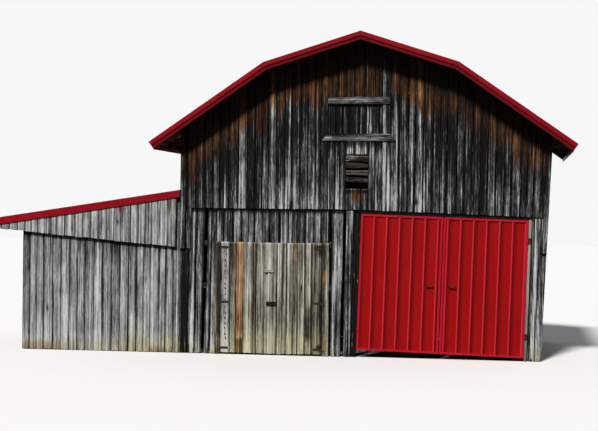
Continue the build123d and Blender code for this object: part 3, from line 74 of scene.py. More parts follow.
def lean_height(x, drop):
    """Height of the lean-to roof's outline, moved in by drop, at x."""
    return LEAN_HEAD - (LEFT - x) * tan(LEAN_SLOPE) - drop / cos(LEAN_SLOPE)


def leaning(x, z):
    """x, at the height z, of the line of the leaning right wall that would stand plumb at x."""
    return x + (z - PLUMB_AT) * tan(WALL_LEAN)


def leaning_height(x, drop):
    """Height at which that line meets the main roof's outline, moved in by drop."""
    fall = tan(WALL_LEAN) * tan(LOWER_SLOPE)
    return (roof_height(x, drop) + PLUMB_AT * fall) / (1 + fall)


def skirt(x):
    """Height of the skirt line at x."""
    return SKIRT - max(0.0, SKIRT_FALL * (x - SKIRT_BEND) / (RIGHT - SKIRT_BEND))


def smooth(low, high, value):
    """0 at low, 1 at high, and a soft step between."""
    t = min(1.0, max(0.0, (value - low) / (high - low)))
    return t * t * (3 - 2 * t)


# ---- Materials ----
class Tree:
    """Short calls that add nodes to a tree."""

    def __init__(self, tree):
        self.tree = tree

    def node(self, kind, inputs=(), **settings):
        """A new node. inputs holds values or other nodes' sockets, in order or by key."""
        made = self.tree.nodes.new(kind)
        for key, value in settings.items():
            setattr(made, key, value)
        for key, value in inputs.items() if isinstance(inputs, dict) else enumerate(inputs):
            self.put(made.inputs[key], value)
        return made

    def put(self, socket, value):
        if isinstance(value, bpy.types.NodeSocket):
            self.tree.links.new(value, socket)
        else:
            socket.default_value = (*value, 1) if socket.type == "RGBA" else value

    def math(self, kind, a, b):
        return self.node("ShaderNodeMath", (a, b), operation=kind).outputs[0]

    def plus(self, total, *others):
        for other in others:
            total = self.math("ADD", total, other)
        return total

    def times(self, total, *others):
        for other in others:
            total = self.math("MULTIPLY", total, other)
        return total

    def minus(self, a, b):
        return self.math("SUBTRACT", a, b)

    def coords(self, kind="Object"):
        return self.node("ShaderNodeTexCoord").outputs[kind]

    def parts(self, vector, kind="ShaderNodeSeparateXYZ"):
        return self.node(kind, (vector,)).outputs

    def attribute(self, name):
        """The four parts of a colour that the mesh carries."""
        made = self.node("ShaderNodeAttribute", attribute_name=name).outputs
        return (*self.parts(made["Color"], "ShaderNodeSeparateColor"), made["Alpha"])

    def scaled(self, vector, scale):
        return self.node("ShaderNodeMapping", {"Vector": vector, "Scale": scale}).outputs[0]

    def noise(self, vector, scale, detail=4.0, rough=0.6, distort=0.0):
        """Noise with a scale of its own along each axis."""
        return self.node("ShaderNodeTexNoise", {
            "Vector": self.scaled(vector, scale), "Scale": 1.0, "Detail": detail, "Roughness": rough,
            "Distortion": distort}).outputs["Fac"]

    def step(self, value, low, high, to_low=0.0, to_high=1.0):
        return self.node("ShaderNodeMapRange", (value, low, high, to_low, to_high),
                         interpolation_type="SMOOTHSTEP").outputs[0]

    def band(self, value, rise, fall):
        """1 between the rise and the fall, and 0 outside them."""
        return self.times(self.step(value, *rise), self.step(value, *fall, 1.0, 0.0))

    def ramp(self, value, stops):
        made = self.node("ShaderNodeValToRGB", (value,))
        elements = made.color_ramp.elements
        while len(elements) < len(stops):
            elements.new(0.5)
        for element, (place, colour) in zip(elements, stops):
            element.position = place
            element.color = (*colour, 1)
        return made.outputs[0]

    def mix(self, fac, a, b, kind="MIX"):
        return self.node("ShaderNodeMix", {0: fac, 6: a, 7: b}, data_type="RGBA", blend_type=kind).outputs[2]

    def seen(self):
        """1 where the camera looks at a place, straight, by a reflection or through glass."""
        path = self.node("ShaderNodeLightPath").outputs
        direct = self.math("MAXIMUM", path["Is Camera Ray"], path["Is Glossy Ray"])
        return self.math("MAXIMUM", direct, path["Is Transmission Ray"])

    def surface(self, colour, rough, specular, strength, distance, height):
        """Dresses the shader. strength and distance are those of a bump that follows height."""
        bump = self.node("ShaderNodeBump", {"Strength": strength, "Distance": distance, "Height": height})
        for socket, value in (("Base Color", colour), ("Roughness", rough), ("Specular IOR Level", specular),
                              ("Normal", bump.outputs[0])):
            self.put(self.shader[socket], value)
        return self.material


def new_material(name):
    """The short calls for a new material's tree, with the material and its shader's inputs."""
    material = bpy.data.materials.new(name)
    material.use_nodes = True
    t = Tree(material.node_tree)
    t.material, t.shader = material, t.tree.nodes["Principled BSDF"].inputs
    return t


def along(axis, across, length):
    """A scale that is fine across the boards and long along the axis."""
    return tuple(length if i == axis else across for i in range(3))


GREY = [
    (0.0, (0.003, 0.003, 0.003)), (0.3, (0.01, 0.01, 0.01)), (0.48, (0.034, 0.035, 0.034)),
    (0.62, (0.1, 0.103, 0.1)), (0.8, (0.26, 0.265, 0.26)), (1.0, (0.56, 0.57, 0.56)),
]
SILVER = [
    (0.0, (0.01, 0.01, 0.009)), (0.22, (0.045, 0.046, 0.043)), (0.42, (0.14, 0.143, 0.134)),
    (0.62, (0.26, 0.262, 0.248)), (0.82, (0.42, 0.42, 0.4)), (1.0, (0.62, 0.62, 0.6)),
]
BROWN = [
    (0.0, (0.003, 0.002, 0.002)), (0.32, (0.018, 0.009, 0.005)), (0.55, (0.085, 0.037, 0.016)),
    (0.75, (0.21, 0.098, 0.045)), (0.9, (0.36, 0.19, 0.1)), (1.0, (0.5, 0.33, 0.19)),
]
UMBER = [
    (0.0, (0.003, 0.002, 0.002)), (0.32, (0.016, 0.01, 0.007)), (0.55, (0.065, 0.04, 0.023)),
    (0.75, (0.16, 0.105, 0.065)), (0.9, (0.32, 0.23, 0.15)), (1.0, (0.5, 0.4, 0.29)),
]
TAN = [
    (0.0, (0.012, 0.009, 0.006)), (0.22, (0.05, 0.04, 0.028)), (0.42, (0.15, 0.135, 0.105)),
    (0.62, (0.27, 0.255, 0.21)), (0.82, (0.42, 0.41, 0.35)), (1.0, (0.6, 0.59, 0.53)),
]
ORANGE = [
    (0.0, (0.02, 0.011, 0.006)), (0.3, (0.11, 0.05, 0.022)), (0.55, (0.29, 0.15, 0.066)),
    (0.8, (0.48, 0.3, 0.155)), (1.0, (0.72, 0.54, 0.34)),
]
FRESH = [
    (0.0, (0.05, 0.035, 0.025)), (0.4, (0.22, 0.19, 0.15)), (0.7, (0.42, 0.38, 0.32)),
    (1.0, (0.66, 0.62, 0.56)),
]
# Near black: painted shade for the left jamb's recess.
SHADE_BLACK = [(0.0, (0.002, 0.002, 0.002)), (0.5, (0.005, 0.005, 0.005)), (0.75, (0.03, 0.03, 0.03))]
STAIN = (0.3, 0.27, 0.12)
STAIN_GAIN = 2.6
RUN_RED = (0.13, 0.012, 0.01)
CRACK_BLACK = (0.008, 0.006, 0.005)
SEED_SHIFT = (13.1, 17.7, 29.3)


def wood(name, axis, ramp, brown=BROWN, stain=STAIN, contrast=1.0, tone=None):
    """Weathered board wood, with its grain along axis. Planks drive it by two colours of their own.
    "board": red is the tone, green the seed, blue how brown and alpha how stained the place is.
    "face": red is how near the board's side edge lies, green how much darker the place is, blue how
    orange and alpha how much red has run down it. A solid of the frame has one tone instead."""
    t = new_material(name)
    place = t.coords()
    planks = tone is None
    if planks:
        tone, seed, browned, stained = t.attribute("board")
        edge, shade, orange, run = t.attribute("face")
        shift = t.node("ShaderNodeVectorMath", {0: SEED_SHIFT, "Scale": seed}, operation="SCALE")
        place = t.node("ShaderNodeVectorMath", (place, shift.outputs[0]), operation="ADD").outputs[0]

    def grain(across, length, *settings):
        return t.noise(place, along(axis, across, length), *settings)

    bands = grain(54, 0.42, 5, 0.62, 0.15)
    fine = grain(150, 2.4, 3, 0.65)
    dashes = grain(60, 8.0, 2, 0.6)
    blotch = grain(4.2, 1.1, 5, 0.62)
    pale = t.step(grain(38, 0.42, 4, 0.62, 0.2), 0.56, 0.62)
    cracks = t.step(grain(56, 0.45, 2, 0.5, 0.2), 0.61, 0.66)
    cells = t.node("ShaderNodeTexVoronoi", {"Vector": t.scaled(place, along(axis, 5.5, 2.1)), "Scale": 1.0}).outputs
    knotty = t.math("GREATER_THAN", t.parts(cells["Color"], "ShaderNodeSeparateColor")[0], 0.7)
    knots = t.times(t.step(cells["Distance"], 0.06, 0.13, 1.0, 0.0), knotty)
    rings = t.times(t.step(cells["Distance"], 0.1, 0.3, 1.0, 0.0), knotty)

    def around(source, share):
        """The source's swing about its middle."""
        return t.times(t.minus(source, 0.5), share * contrast)

    def patches(amount, full, start, *swings):
        """Where a board's own amount shows, broken up by the swings of noises."""
        broken = t.plus(amount, *(around(source, share) for source, share in swings))
        return t.times(t.step(broken, *full), t.step(amount, *start))

    level = t.plus(tone, around(bands, 2.3), around(fine, 1.2), around(blotch, 1.5), around(dashes, 0.75),
                   t.times(pale, 0.34 * contrast))
    level = t.plus(t.minus(level, 0.07), t.times(rings, -0.12))
    if planks:
        level = t.plus(level, t.times(edge, -0.34), t.times(shade, -1.0))
    colour = t.ramp(level, ramp)
    cool = t.mix(1.0, colour, (0.98, 1.0, 1.02), "MULTIPLY")
    colour = t.mix(t.step(grain(2.3, 0.4, 2, 0.5), 0.42, 0.62), colour, cool)
    if planks:
        mask = patches(browned, (0.3, 0.8), (0.02, 0.15), (blotch, 0.6), (bands, 1.1))
        colour = t.mix(mask, colour, t.ramp(t.plus(t.times(level, 0.62), 0.2), brown))
        mask = patches(orange, (0.35, 0.65), (0.02, 0.15), (blotch, 0.4), (bands, 0.6))
        colour = t.mix(mask, colour, t.ramp(t.plus(level, 0.05), ORANGE))
        mask = patches(stained, (0.2, 0.9), (0.0, 0.2), (blotch, 0.6))
        colour = t.mix(mask, colour, t.mix(1.0, colour, tuple(STAIN_GAIN * c for c in stain), "MULTIPLY"))
        mask = patches(run, (0.35, 0.75), (0.02, 0.1), (bands, 0.7))
        colour = t.mix(t.times(mask, 0.85), colour, RUN_RED)
    colour = t.mix(t.math("MAXIMUM", t.times(cracks, 0.85), t.times(knots, 0.85)), colour, CRACK_BLACK)
    relief = t.minus(t.plus(t.times(bands, 0.6), t.times(fine, 0.5)), t.times(cracks, 0.8))
    return t.surface(colour, t.step(level, 0.0, 1.0, 0.78, 0.95), 0.05, 0.55, 0.004, relief)


def painted(name, colour, rough, streak, axis=Z_AXIS, dust=(0.42, 0.16, 0.15), rib=None):
    """Baked paint on sheet metal, with faint runs of dust along axis and chalking. rib is the place of one rib of a
    door's sheet: a painted highlight lies on its left flank and painted shade in the bend at its right."""
    t = new_material(name)
    coords = t.coords()
    runs = t.noise(coords, along(axis, 9, 0.35), 5, 0.6, 0.2)
    cloud = t.noise(coords, (0.9, 0.9, 0.9))
    speck = t.noise(coords, (60, 60, 60), 3, 0.7)
    deep = tuple(0.82 * c for c in colour)
    shade = t.mix(t.step(cloud, 0.3, 0.7), deep, colour)
    shade = t.mix(t.times(t.step(runs, 0.5, 0.85), streak), shade, dust)
    shade = t.mix(t.times(t.step(speck, 0.66, 0.74), 0.25), shade, deep)
    if rib is not None:
        x, _, z = t.parts(coords)
        u = t.minus(t.times(t.minus(x, BAY_X), cos(TILT)), t.times(t.minus(z, BAY_Z), sin(TILT)))
        u = t.plus(u, 20.5 * RIB_PITCH - rib)
        u = t.minus(t.math("MODULO", u, RIB_PITCH), RIB_PITCH / 2)
        uneven = t.step(runs, 0.25, 0.75, 0.7, 1.0)
        # Painted shade in the bend to the right of each rib.
        rib_shade = t.times(t.band(u, (0.000, 0.02), (0.045, 0.1)), uneven, 0.85)
        shade = t.mix(rib_shade, shade, (0.12, 0.0005, 0.001))
        # Painted highlight on each rib's left flank.
        rib_highlight = t.times(t.band(u, (-0.026, -0.018), (-0.006, 0.002)), uneven)
        shade = t.mix(rib_highlight, shade, (0.6, 0.03, 0.052))
    return t.surface(shade, t.step(runs, 0.2, 0.9, rough - 0.06, rough + 0.16), 0.1, 0.12, 0.004,
                     t.noise(coords, (3.5, 3.5, 3.5), 2, 0.5))


def iron(name, dark, rust, amount):
    """Old iron: dark skin with rust where the noise is high."""
    t = new_material(name)
    coords = t.coords()
    big = t.noise(coords, (35, 35, 35), 5, 0.65)
    small = t.noise(coords, (260, 260, 260), 4, 0.7)
    level = t.plus(t.times(big, 0.6), t.times(small, 0.4))
    mask = t.step(level, 0.6 - amount * 0.25, 0.72 - amount * 0.2)
    rusty = t.mix(t.step(small, 0.35, 0.75), rust, tuple(min(1.0, 1.9 * c) for c in rust))
    t.shader["Metallic"].default_value = 0.1
    return t.surface(t.mix(mask, dark, rusty), t.step(level, 0.3, 0.7, 0.6, 0.9), 0.2, 0.5, 0.001, level)


def jamb_wood():
    """The right jamb is pale sawn wood and the left one old and dark, with painted shade making it near black in
    its recess.
    """
    t = new_material("jamb_wood")
    coords = t.coords()
    x, _, z = t.parts(coords)
    grain = t.noise(coords, along(Z_AXIS, 60, 1.2), 5, 0.65, 0.2)
    patch = t.noise(coords, (14, 14, 3.0))
    # The left jamb's near-black ramp is painted shade.
    old = t.mix(t.step(patch, 0.6, 0.7), t.ramp(grain, SHADE_BLACK), t.ramp(grain, ORANGE))
    weathered = t.step(t.plus(z, t.times(patch, 1.2)), 0.4, 2.2, 0.75, 0.0)
    new = t.mix(weathered, t.ramp(grain, FRESH), t.ramp(grain, GREY))
    return t.surface(t.mix(t.math("GREATER_THAN", x, BAY_X), old, new), t.step(grain, 0.2, 0.8, 0.75, 0.92),
                     0.05, 0.4, 0.003, grain)


old_up = wood("old_boards_up", Z_AXIS, GREY)
old_along = wood("old_boards_along", X_AXIS, GREY)
wall_up = wood("wall_boards_up", Z_AXIS, GREY, stain=(0.35, 0.32, 0.24), contrast=0.84)
silver_up = wood("silver_boards_up", Z_AXIS, SILVER, UMBER, stain=(0.34, 0.3, 0.2), contrast=0.85)
door_up = wood("door_boards_up", Z_AXIS, TAN, UMBER, stain=(0.38, 0.36, 0.275), contrast=0.78)
door_along = wood("door_boards_along", X_AXIS, TAN, UMBER, contrast=0.72)
hatch_along = wood("hatch_boards_along", X_AXIS, GREY, UMBER, contrast=1.3)
timber = [wood(f"frame_timber_{axis}", axis, TAN, contrast=0.7, tone=0.36) for axis in range(3)]
# A dark copy of the frame's timber: painted shade for the red doorway's head, which lies under the skirt.
painted_shade_timber = wood("painted_shade_timber", X_AXIS, GREY, contrast=0.7, tone=0.16)
dim_timber = wood("dim_timber", X_AXIS, TAN, contrast=0.7, tone=0.2)
roof_red = painted("roof_red", (0.34, 0.006, 0.01), 0.45, 0.25, X_AXIS)
trim_red = painted("trim_red", (0.265, 0.002, 0.009), 0.42, 0.1, dust=(0.36, 0.02, 0.03))
barge_red = painted("barge_red", (0.115, 0.001, 0.004), 0.5, 0.1, dust=(0.2, 0.012, 0.016))
# The door sheets' reds carry painted highlights and painted shade at their ribs.
door_reds = {
    side: painted(f"door_red_{side}", (0.315, 0.0022, 0.0025), 0.45, 0.06, dust=(0.36, 0.02, 0.02), rib=rib)
    for side, rib in DOOR_RIBS.items()
}
door_edge_red = painted("door_edge_red", (0.44, 0.008, 0.022), 0.4, 0.16)
dark_iron = iron("dark_iron", (0.028, 0.007, 0.006), (0.085, 0.016, 0.012), 0.5)
rusty_iron = iron("rusty_iron", (0.016, 0.01, 0.007), (0.042, 0.019, 0.011), 0.55)
nail_iron = iron("nail_iron", (0.014, 0.01, 0.008), (0.045, 0.02, 0.011), 0.6)
screw_red = painted("screw_red", (0.4, 0.02, 0.03), 0.4, 0.0)


# ---- Meshes ----
NAILS = {}


def value_at(rule, *place):
    """A rule is a value, or a function that gives it for the place on the boards."""
    return rule(*place) if callable(rule) else rule


def new_object(name, data):
    obj = bpy.data.objects.new(name, data)
    bpy.context.collection.objects.link(obj)
    return obj


def new_piece(name, mesh, material, body):
    """An object of the mesh that rides on the body."""
    mesh.materials.append(material)
    obj = new_object(name, mesh)
    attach(obj, body)
    return obj


class Planks:
    """Gathers boards into one mesh. A board lies in a frame of u across, v along and n out."""

    BEVEL, ONE_NAIL_WIDTH = 0.0035, 0.09
    BOW, CUP, TWIST, RELIEF = 0.003, 0.0016, 0.0018, 0.0012

    def __init__(self, origin, u, v, seed):
        self.origin, self.u, self.v = Vector(origin), Vector(u), Vector(v)
        self.n = self.u.cross(self.v)
        self.rng = random.Random(seed)
        self.verts, self.faces, self.data, self.marks, self.nails = [], [], [], [], []

    def place(self, u, v, out):
        return self.origin + self.u * u + self.v * v + self.n * out

    def board(self, foot, head, thick=BOARD, tone=0.5, brown=0.0, stain=0.0, shade=0.0, orange=0.0,
              run=0.0, rows=10, rag=(0, 0), warp=1.0, rough=1.0, pieces=6, wander=0.0022, steps=None,
              nails=()):
        """foot and head are ((u, v), (u, v)): the two lower and the two upper corners. rag is how far
        the two ends may be eaten back, and wander how far the sides stray."""
        rng = self.rng
        (u0, v0), (u1, v1) = foot
        (u2, v2), (u3, v3) = head
        width = u1 - u0
        seed = rng.random()
        bow = rng.uniform(-1, 1) * self.BOW * warp
        cup = rng.uniform(-0.6, 1) * self.CUP * warp
        twist = rng.uniform(-1, 1) * self.TWIST * warp
        edge = self.BEVEL / width
        shares = [0.0, edge] + [i / (pieces - 1) for i in range(1, pieces - 1)] + [1 - edge, 1.0]
        lift_foot, lift_head = ([rng.random() * eaten for _ in shares] for eaten in rag)
        steps = steps or [row / rows for row in range(rows + 1)]

        def across(share, s):
            return (u0 + width * share) * (1 - s) + (u2 + (u3 - u2) * share) * s

        start = len(self.verts)
        for s in steps:
            swell = bow * sin(pi * s)
            strays = [wander * noise.noise(Vector((seed * 90 + side * 7, s * (v2 - v0) * 2.3, 0)))
                      for side in (0, 1)]
            points = []
            for i, share in enumerate(shares):
                foot_v = v0 + (v1 - v0) * share + lift_foot[i]
                head_v = v2 + (v3 - v2) * share - lift_head[i]
                u = across(share, s)
                u += strays[0] * (1 - share) + strays[1] * share
                out = thick + swell + twist * (2 * share - 1)
                out += cup * (1 - (2 * share - 1) ** 2)
                from_side = min(i, len(shares) - 1 - i)
                if from_side == 0:
                    out -= self.BEVEL
                else:
                    out += self.RELIEF * rough * noise.noise(Vector((u * 60, foot_v + s * 9, seed * 50)))
                near = {0: 1.0, 1: 0.8}.get(from_side, 0.0)
                points.append((u, foot_v + (head_v - foot_v) * s, out, near))
            points = [(*points[0][:2], swell * 0.5, 1.0), *points, (*points[-1][:2], swell * 0.5, 1.0)]
            for u, v, out, near in points:
                self.verts.append(self.place(u, v, out))
                self.data += [tone, seed, *(value_at(rule, u, v) for rule in (brown, stain))]
                self.marks += [near, *(value_at(rule, u, v) for rule in (shade, orange, run))]
        ring = len(points)
        for row in range(start, start + (len(steps) - 1) * ring, ring):
            for i in range(ring):
                a, b = row + i, row + (i + 1) % ring
                self.faces.append((a, b, b + ring, a + ring))
        last = len(self.verts) - ring
        self.faces.append(tuple(start + i for i in reversed(range(ring))))
        self.faces.append(tuple(last + i for i in range(ring)))
        for v in nails:
            s = (v - v0) / (v2 - v0)
            if 0.02 < s < 0.99:
                for share in (0.22, 0.78) if width > self.ONE_NAIL_WIDTH else (0.5,):
                    self.nails.append(self.place(
                        across(share, s) + rng.uniform(-0.008, 0.008), v + rng.uniform(-0.012, 0.012),
                        thick + bow * sin(pi * s)))

    def straight(self, a, b, low, high, *args, **options):
        """A board from a to b across. low and high are the places of its ends, or rules for them."""
        self.board(*([(u, value_at(end, u)) for u in (a, b)] for end in (low, high)), *args, **options)

    def piece(self, name, material, node=None, body="barn", slot="old_boards"):
        """One object of the boards, in the place of the node of the frame."""
        mesh = bpy.data.meshes.new(name)
        mesh.from_pydata(self.verts, [], self.faces)
        for attribute, values in (("board", self.data), ("face", self.marks)):
            mesh.color_attributes.new(attribute, "FLOAT_COLOR", "POINT").data.foreach_set("color", values)
        obj = new_piece(name, mesh, material, body)
        if node:
            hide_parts(node)
        NAILS.setdefault(body, []).extend((point, self.n) for point in self.nails)


def heads(name, places, radius, height, sides, body, material=nail_iron):
    """Domed heads of nails or screws, at places of (point, outward direction)."""
    verts, faces = [], []
    rng = random.Random(len(places))
    for point, out in places:
        out = Vector(out).normalized()
        across = out.orthogonal().normalized()
        other = out.cross(across)
        size = radius * rng.uniform(0.85, 1.15)
        spin = rng.uniform(0, 2 * pi)
        start = len(verts)
        for share, lift in ((1.0, -0.4), (1.0, 0.35), (0.62, 0.85)):
            for i in range(sides):
                turn = spin + 2 * pi * i / sides
                verts.append(point + (across * cos(turn) + other * sin(turn)) * size * share
                             + out * height * lift)
        verts.append(point + out * height)
        for row in (start, start + sides):
            for i in range(sides):
                a, b = row + i, row + (i + 1) % sides
                faces.append((a, b, b + sides, a + sides))
        top = start + 2 * sides
        for i in range(sides):
            faces.append((top + i, top + (i + 1) % sides, top + sides))
        faces.append(tuple(start + i for i in reversed(range(sides))))
    mesh = bpy.data.meshes.new(name)
    mesh.from_pydata(verts, [], faces)
    new_piece(name, mesh, material, body)


NARROW, WIDE = 0.115, 0.185


def board_edges(rng, width):
    """Places of the boards' edges over the width, at random distances."""
    places = [0.0]
    while width - places[-1] > WIDE + NARROW:
        places.append(places[-1] + rng.uniform(NARROW, WIDE))
    rest = width - places[-1]
    if rest > WIDE:
        places.append(places[-1] + rest * rng.uniform(0.45, 0.55))
    return [*places, width]


def lay(planks, spans, foot, head, tones, browns=None, gap=(0.005, 0.013), **options):
    """Fills spans with boards. A span is (start, end), or (foot start, foot end, head start, head
    end). foot and head are heights or rules for them at u. tones is a board's range of tones or a
    rule for it, and browns makes a board's rule for its brown."""
    rng = planks.rng
    for span in spans:
        f0, f1, h0, h1 = span if len(span) == 4 else span * 2
        width = f1 - f0
        edges = board_edges(rng, width)
        for a, b in zip(edges, edges[1:]):
            room = rng.uniform(*gap)
            shares = (a / width, 1.0 if b == width else (b - room) / width)
            low = [(u, value_at(foot, u)) for u in (f0 + width * s for s in shares)]
            top = [(u, value_at(head, u)) for u in (h0 + (h1 - h0) * s for s in shares)]
            middle = (low[0][0] + low[1][0]) / 2
            tone = rng.uniform(*value_at(tones, middle))
            planks.board(low, top, tone=tone, brown=browns(rng, middle) if browns else 0.0, **options)


def wall(planks, name, material, node, spans, foot, head, slot="old_boards", **options):
    """A piece whose boards fill spans, in the place of the node of the frame."""
    lay(planks, spans, foot, head, **options)
    planks.piece(name, material, node, slot=slot)


CLOSED = dict(rag=(0.02, 0), gap=(-0.0005, 0.0005), wander=0.0006)


def front_planks(y, seed):
    """Upright boards whose backs lie at y, facing the front."""
    return Planks((0, y, 0), (1, 0, 0), (0, 0, 1), seed)


def cross_planks(y, seed):
    """Level boards whose backs lie at y, facing the front: u runs down and v to the right."""
    return Planks((0, y, 0), (0, 0, -1), (1, 0, 0), seed)


def rear_planks(seed):
    """Upright boards of the back walls: u runs to the left as seen from the front."""
    return Planks((0, BACK - BOARD, 0), (-1, 0, 0), (0, 0, 1), seed)


def left_planks(x, seed):
    """Upright boards with their faces at x, facing the left: u runs to the front."""
    return Planks((x + BOARD, 0, 0), (0, -1, 0), (0, 0, 1), seed)


# ---- Front, below the gable ----
INSIDE = FRONT + BOARD
SLOT_FOOT, SLOT_HEAD, SLOT = LEFT + 0.4, LEFT + 0.462, 0.055
WOOD_LEFT, WOOD_RIGHT, WOOD_TOP = LEFT + 0.757, LEFT + 2.612, 2.04
CASING_LEFT, CASING_RIGHT, CASING_LAP = WOOD_LEFT - 0.095, WOOD_RIGHT + 0.125, 0.06
POST_FOOT, POST_LEAN, POST_WIDTH, POST_DEPTH, POST_LAP = LEFT + 2.993, 0.043, 0.14, 0.12, 0.045
JOIST_FOOT = 2.72
JOINT = 0.028
JAMB_OUT, JAMB_LAP = 1.536, 0.045
LOW_NAILS = (0.28, 1.32, 2.44)
LOW_STEPS = (0.0, 0.02, 0.06, 0.12, 0.2, 0.3, 0.4, 0.5, 0.6, 0.7, 0.8, 0.88, 0.925, 0.94, 0.955, 1.0)


def splash(top, strength=1.0):
    """Stain that fades out at top above the ground."""
    return lambda u, v: strength * smooth(top, 0.0, v)


def painted_skirt_shadow(u, v):
    """Painted shadow just under the skirt of the gable boards."""
    return 0.5 * smooth(skirt(u) - 0.085, skirt(u) - 0.035, v)


def pale_foot(v, depth):
    """How much paler the splashed feet of the boards are."""
    return depth * smooth(0.45, 0.12, v)


def corner_shade(u, v):
    """The black strip beside the lean-to, the painted shadow under the skirt, and the greyer board beside the
    strip.
    """
    strip = 0.22 * smooth(LEFT + 0.005, LEFT + 0.03, u) * smooth(LEFT + 0.14, LEFT + 0.11, u)
    grey = smooth(LEFT + 0.16, LEFT + 0.2, u) * (0.11 * (u < SLOT_HEAD + 0.02) + pale_foot(v, 0.27))
    return max(painted_skirt_shadow(u, v), strip * smooth(2.1, 1.9, v)) - grey


def peeling_and_painted_shade(u, v):
    """Painted shade beside the casing's gap, the dark, flaking lower half of the boards, and the painted shadow
    under the skirt.
    """
    flakes = 0.16 * smooth(0.35, 0.55, v) * smooth(1.42, 1.2, v) * smooth(1.04, 1.1, u)
    # Painted shade on the boards beside the casing.
    recess_shade = 0.4 * smooth(CASING_RIGHT + 0.085, CASING_RIGHT + 0.04, u) * smooth(0.1, 0.5, v)
    return max(flakes, recess_shade * smooth(2.3, 2.0, v), painted_skirt_shadow(u, v))


def bay(u, v):
    """x and z of a point of the tilted bay of the red doors."""
    return BAY_X + u * cos(TILT) + v * sin(TILT), BAY_Z - u * sin(TILT) + v * cos(TILT)


def bay_x(u, z):
    """x of the bay's line at u, at the height z."""
    return bay(u, (z - BAY_Z + u * sin(TILT)) / cos(TILT))[0]


# These boards get the painted shadow under the skirt.
wall(front_planks(INSIDE, 11), "front_boards_left", wall_up, "front_wall_left",
     [(LEFT, SLOT_FOOT, LEFT, SLOT_HEAD), (SLOT_FOOT + SLOT, CASING_LEFT, SLOT_HEAD + SLOT, CASING_LEFT)],
     GROUND_CLEAR, BOARD_TOP, tones=lambda x: (0.4 if x < SLOT_FOOT else 0.5, 0.66), stain=splash(0.45, 0.75),
     rag=(0.02, 0), steps=LOW_STEPS, nails=LOW_NAILS, shade=corner_shade)
# These boards get the painted shadow under the skirt.
wall(front_planks(INSIDE, 12), "front_boards_over_doors", wall_up, "front_wall_over_doors",
     [(CASING_LEFT + 0.003, CASING_RIGHT - 0.003)], WOOD_TOP - CASING_LAP, BOARD_TOP, tones=(0.46, 0.78),
     nails=LOW_NAILS[2:], shade=painted_skirt_shadow, steps=(0.0, 0.2, 0.4, 0.6, 0.7, 0.76, 0.81, 0.85, 1.0))
# The middle boards get painted shade beside the casing and the painted shadow under the skirt.
wall(front_planks(INSIDE, 13), "front_boards_middle", wall_up, "front_wall_middle",
     [(CASING_RIGHT + JOINT, POST_FOOT - POST_LAP, CASING_RIGHT + JOINT, POST_FOOT + POST_LEAN - POST_LAP)],
     GROUND_CLEAR, BOARD_TOP, rag=(0.03, 0), steps=LOW_STEPS, stain=splash(0.45, 0.7), tones=(0.7, 0.8),
     shade=peeling_and_painted_shade, nails=LOW_NAILS)
wall(front_planks(INSIDE, 14), "front_boards_right", wall_up, "front_wall_right",
     [(bay_x(JAMB_OUT, 0) + JAMB_LAP, leaning(RIGHT, 0), bay_x(JAMB_OUT, BOARD_TOP) + JAMB_LAP,
       leaning(RIGHT, BOARD_TOP))],
     GROUND_CLEAR, BOARD_TOP, rag=(0.03, 0), rows=12, stain=splash(0.55, 0.9), tones=(0.64, 0.76),
     shade=lambda u, v: -pale_foot(v, 0.16), nails=LOW_NAILS)

# ---- Gable, with the loft opening and the hatch ----
LOFT = (RIDGE_X - 0.61, RIDGE_X + 0.365, 4.005, 4.535)
HATCH = (RIDGE_X - 0.285, RIDGE_X + 0.12, 3.015, 3.64)
HATCH_MIDDLE = (HATCH[0] + HATCH[1]) / 2 + 0.02
HATCH_HALF, HATCH_LAP, LOFT_LAP = 0.052, 0.04, 0.045
CASE, CASE_THICK = (RIDGE_X - 0.612, RIDGE_X + 0.506), 0.022
LINTEL_HEAD, SILL_FOOT, SILL_MITRE = 4.665, 3.87, 0.112
BRIGHT_BOARDS = ((-0.78, -0.6), (-0.2, -0.02), (0.55, 0.68), (2.45, 2.58))
FILLERS = ((0.008, 0.08, 0.62), (0.086, 0.146, 0.56))
FILLED = LOFT[1] + 0.155
GABLE_END = leaning(RIGHT, leaning_height(RIGHT, BATTEN_DROP))
GABLE_FACE = FRONT - BOARD
GABLE_NAILS = (2.72, 3.42, 4.15, 4.9)
CORNER_FOOT, CORNER_DROP = 1.905, 0.145


def gable_top(x):
    return roof_height(x, BATTEN_DROP) - 0.002


def under_hatch(u, v):
    """How far a place lies below the hatch, and a long way beside or above it."""
    return HATCH[2] - v if HATCH[0] < u < HATCH[1] and v < HATCH[2] else 9.0


def gable_tones(x):
    """Range of the tones of a gable board at x."""
    if any(low < x < high for low, high in BRIGHT_BOARDS):
        return 0.66, 0.72
    if x < -0.1:
        return 0.2, 0.5
    return (0.38, 0.62) if x < 2.2 else (0.27, 0.51)


def gable_browns(rng, x):
    """Where sheltered under the roof a board kept its brown, each board down to its own height."""
    depth = rng.uniform(0.85, 1.35) + 0.14
    strength = rng.uniform(0.8, 1.0)
    if LOFT[0] < x < LOFT[1] + 0.15:
        depth += 0.35
    elif x > 2.9:
        strength *= 0.86

    def brown(u, v):
        mask = strength * smooth(depth, depth * 0.5, gable_top(u) - v)
        centre = smooth(0.15, 0.06, abs(u - HATCH_MIDDLE))
        return max(mask, smooth(0.36, 0.12, under_hatch(u, v)) * (0.2 + 0.7 * centre))

    return brown


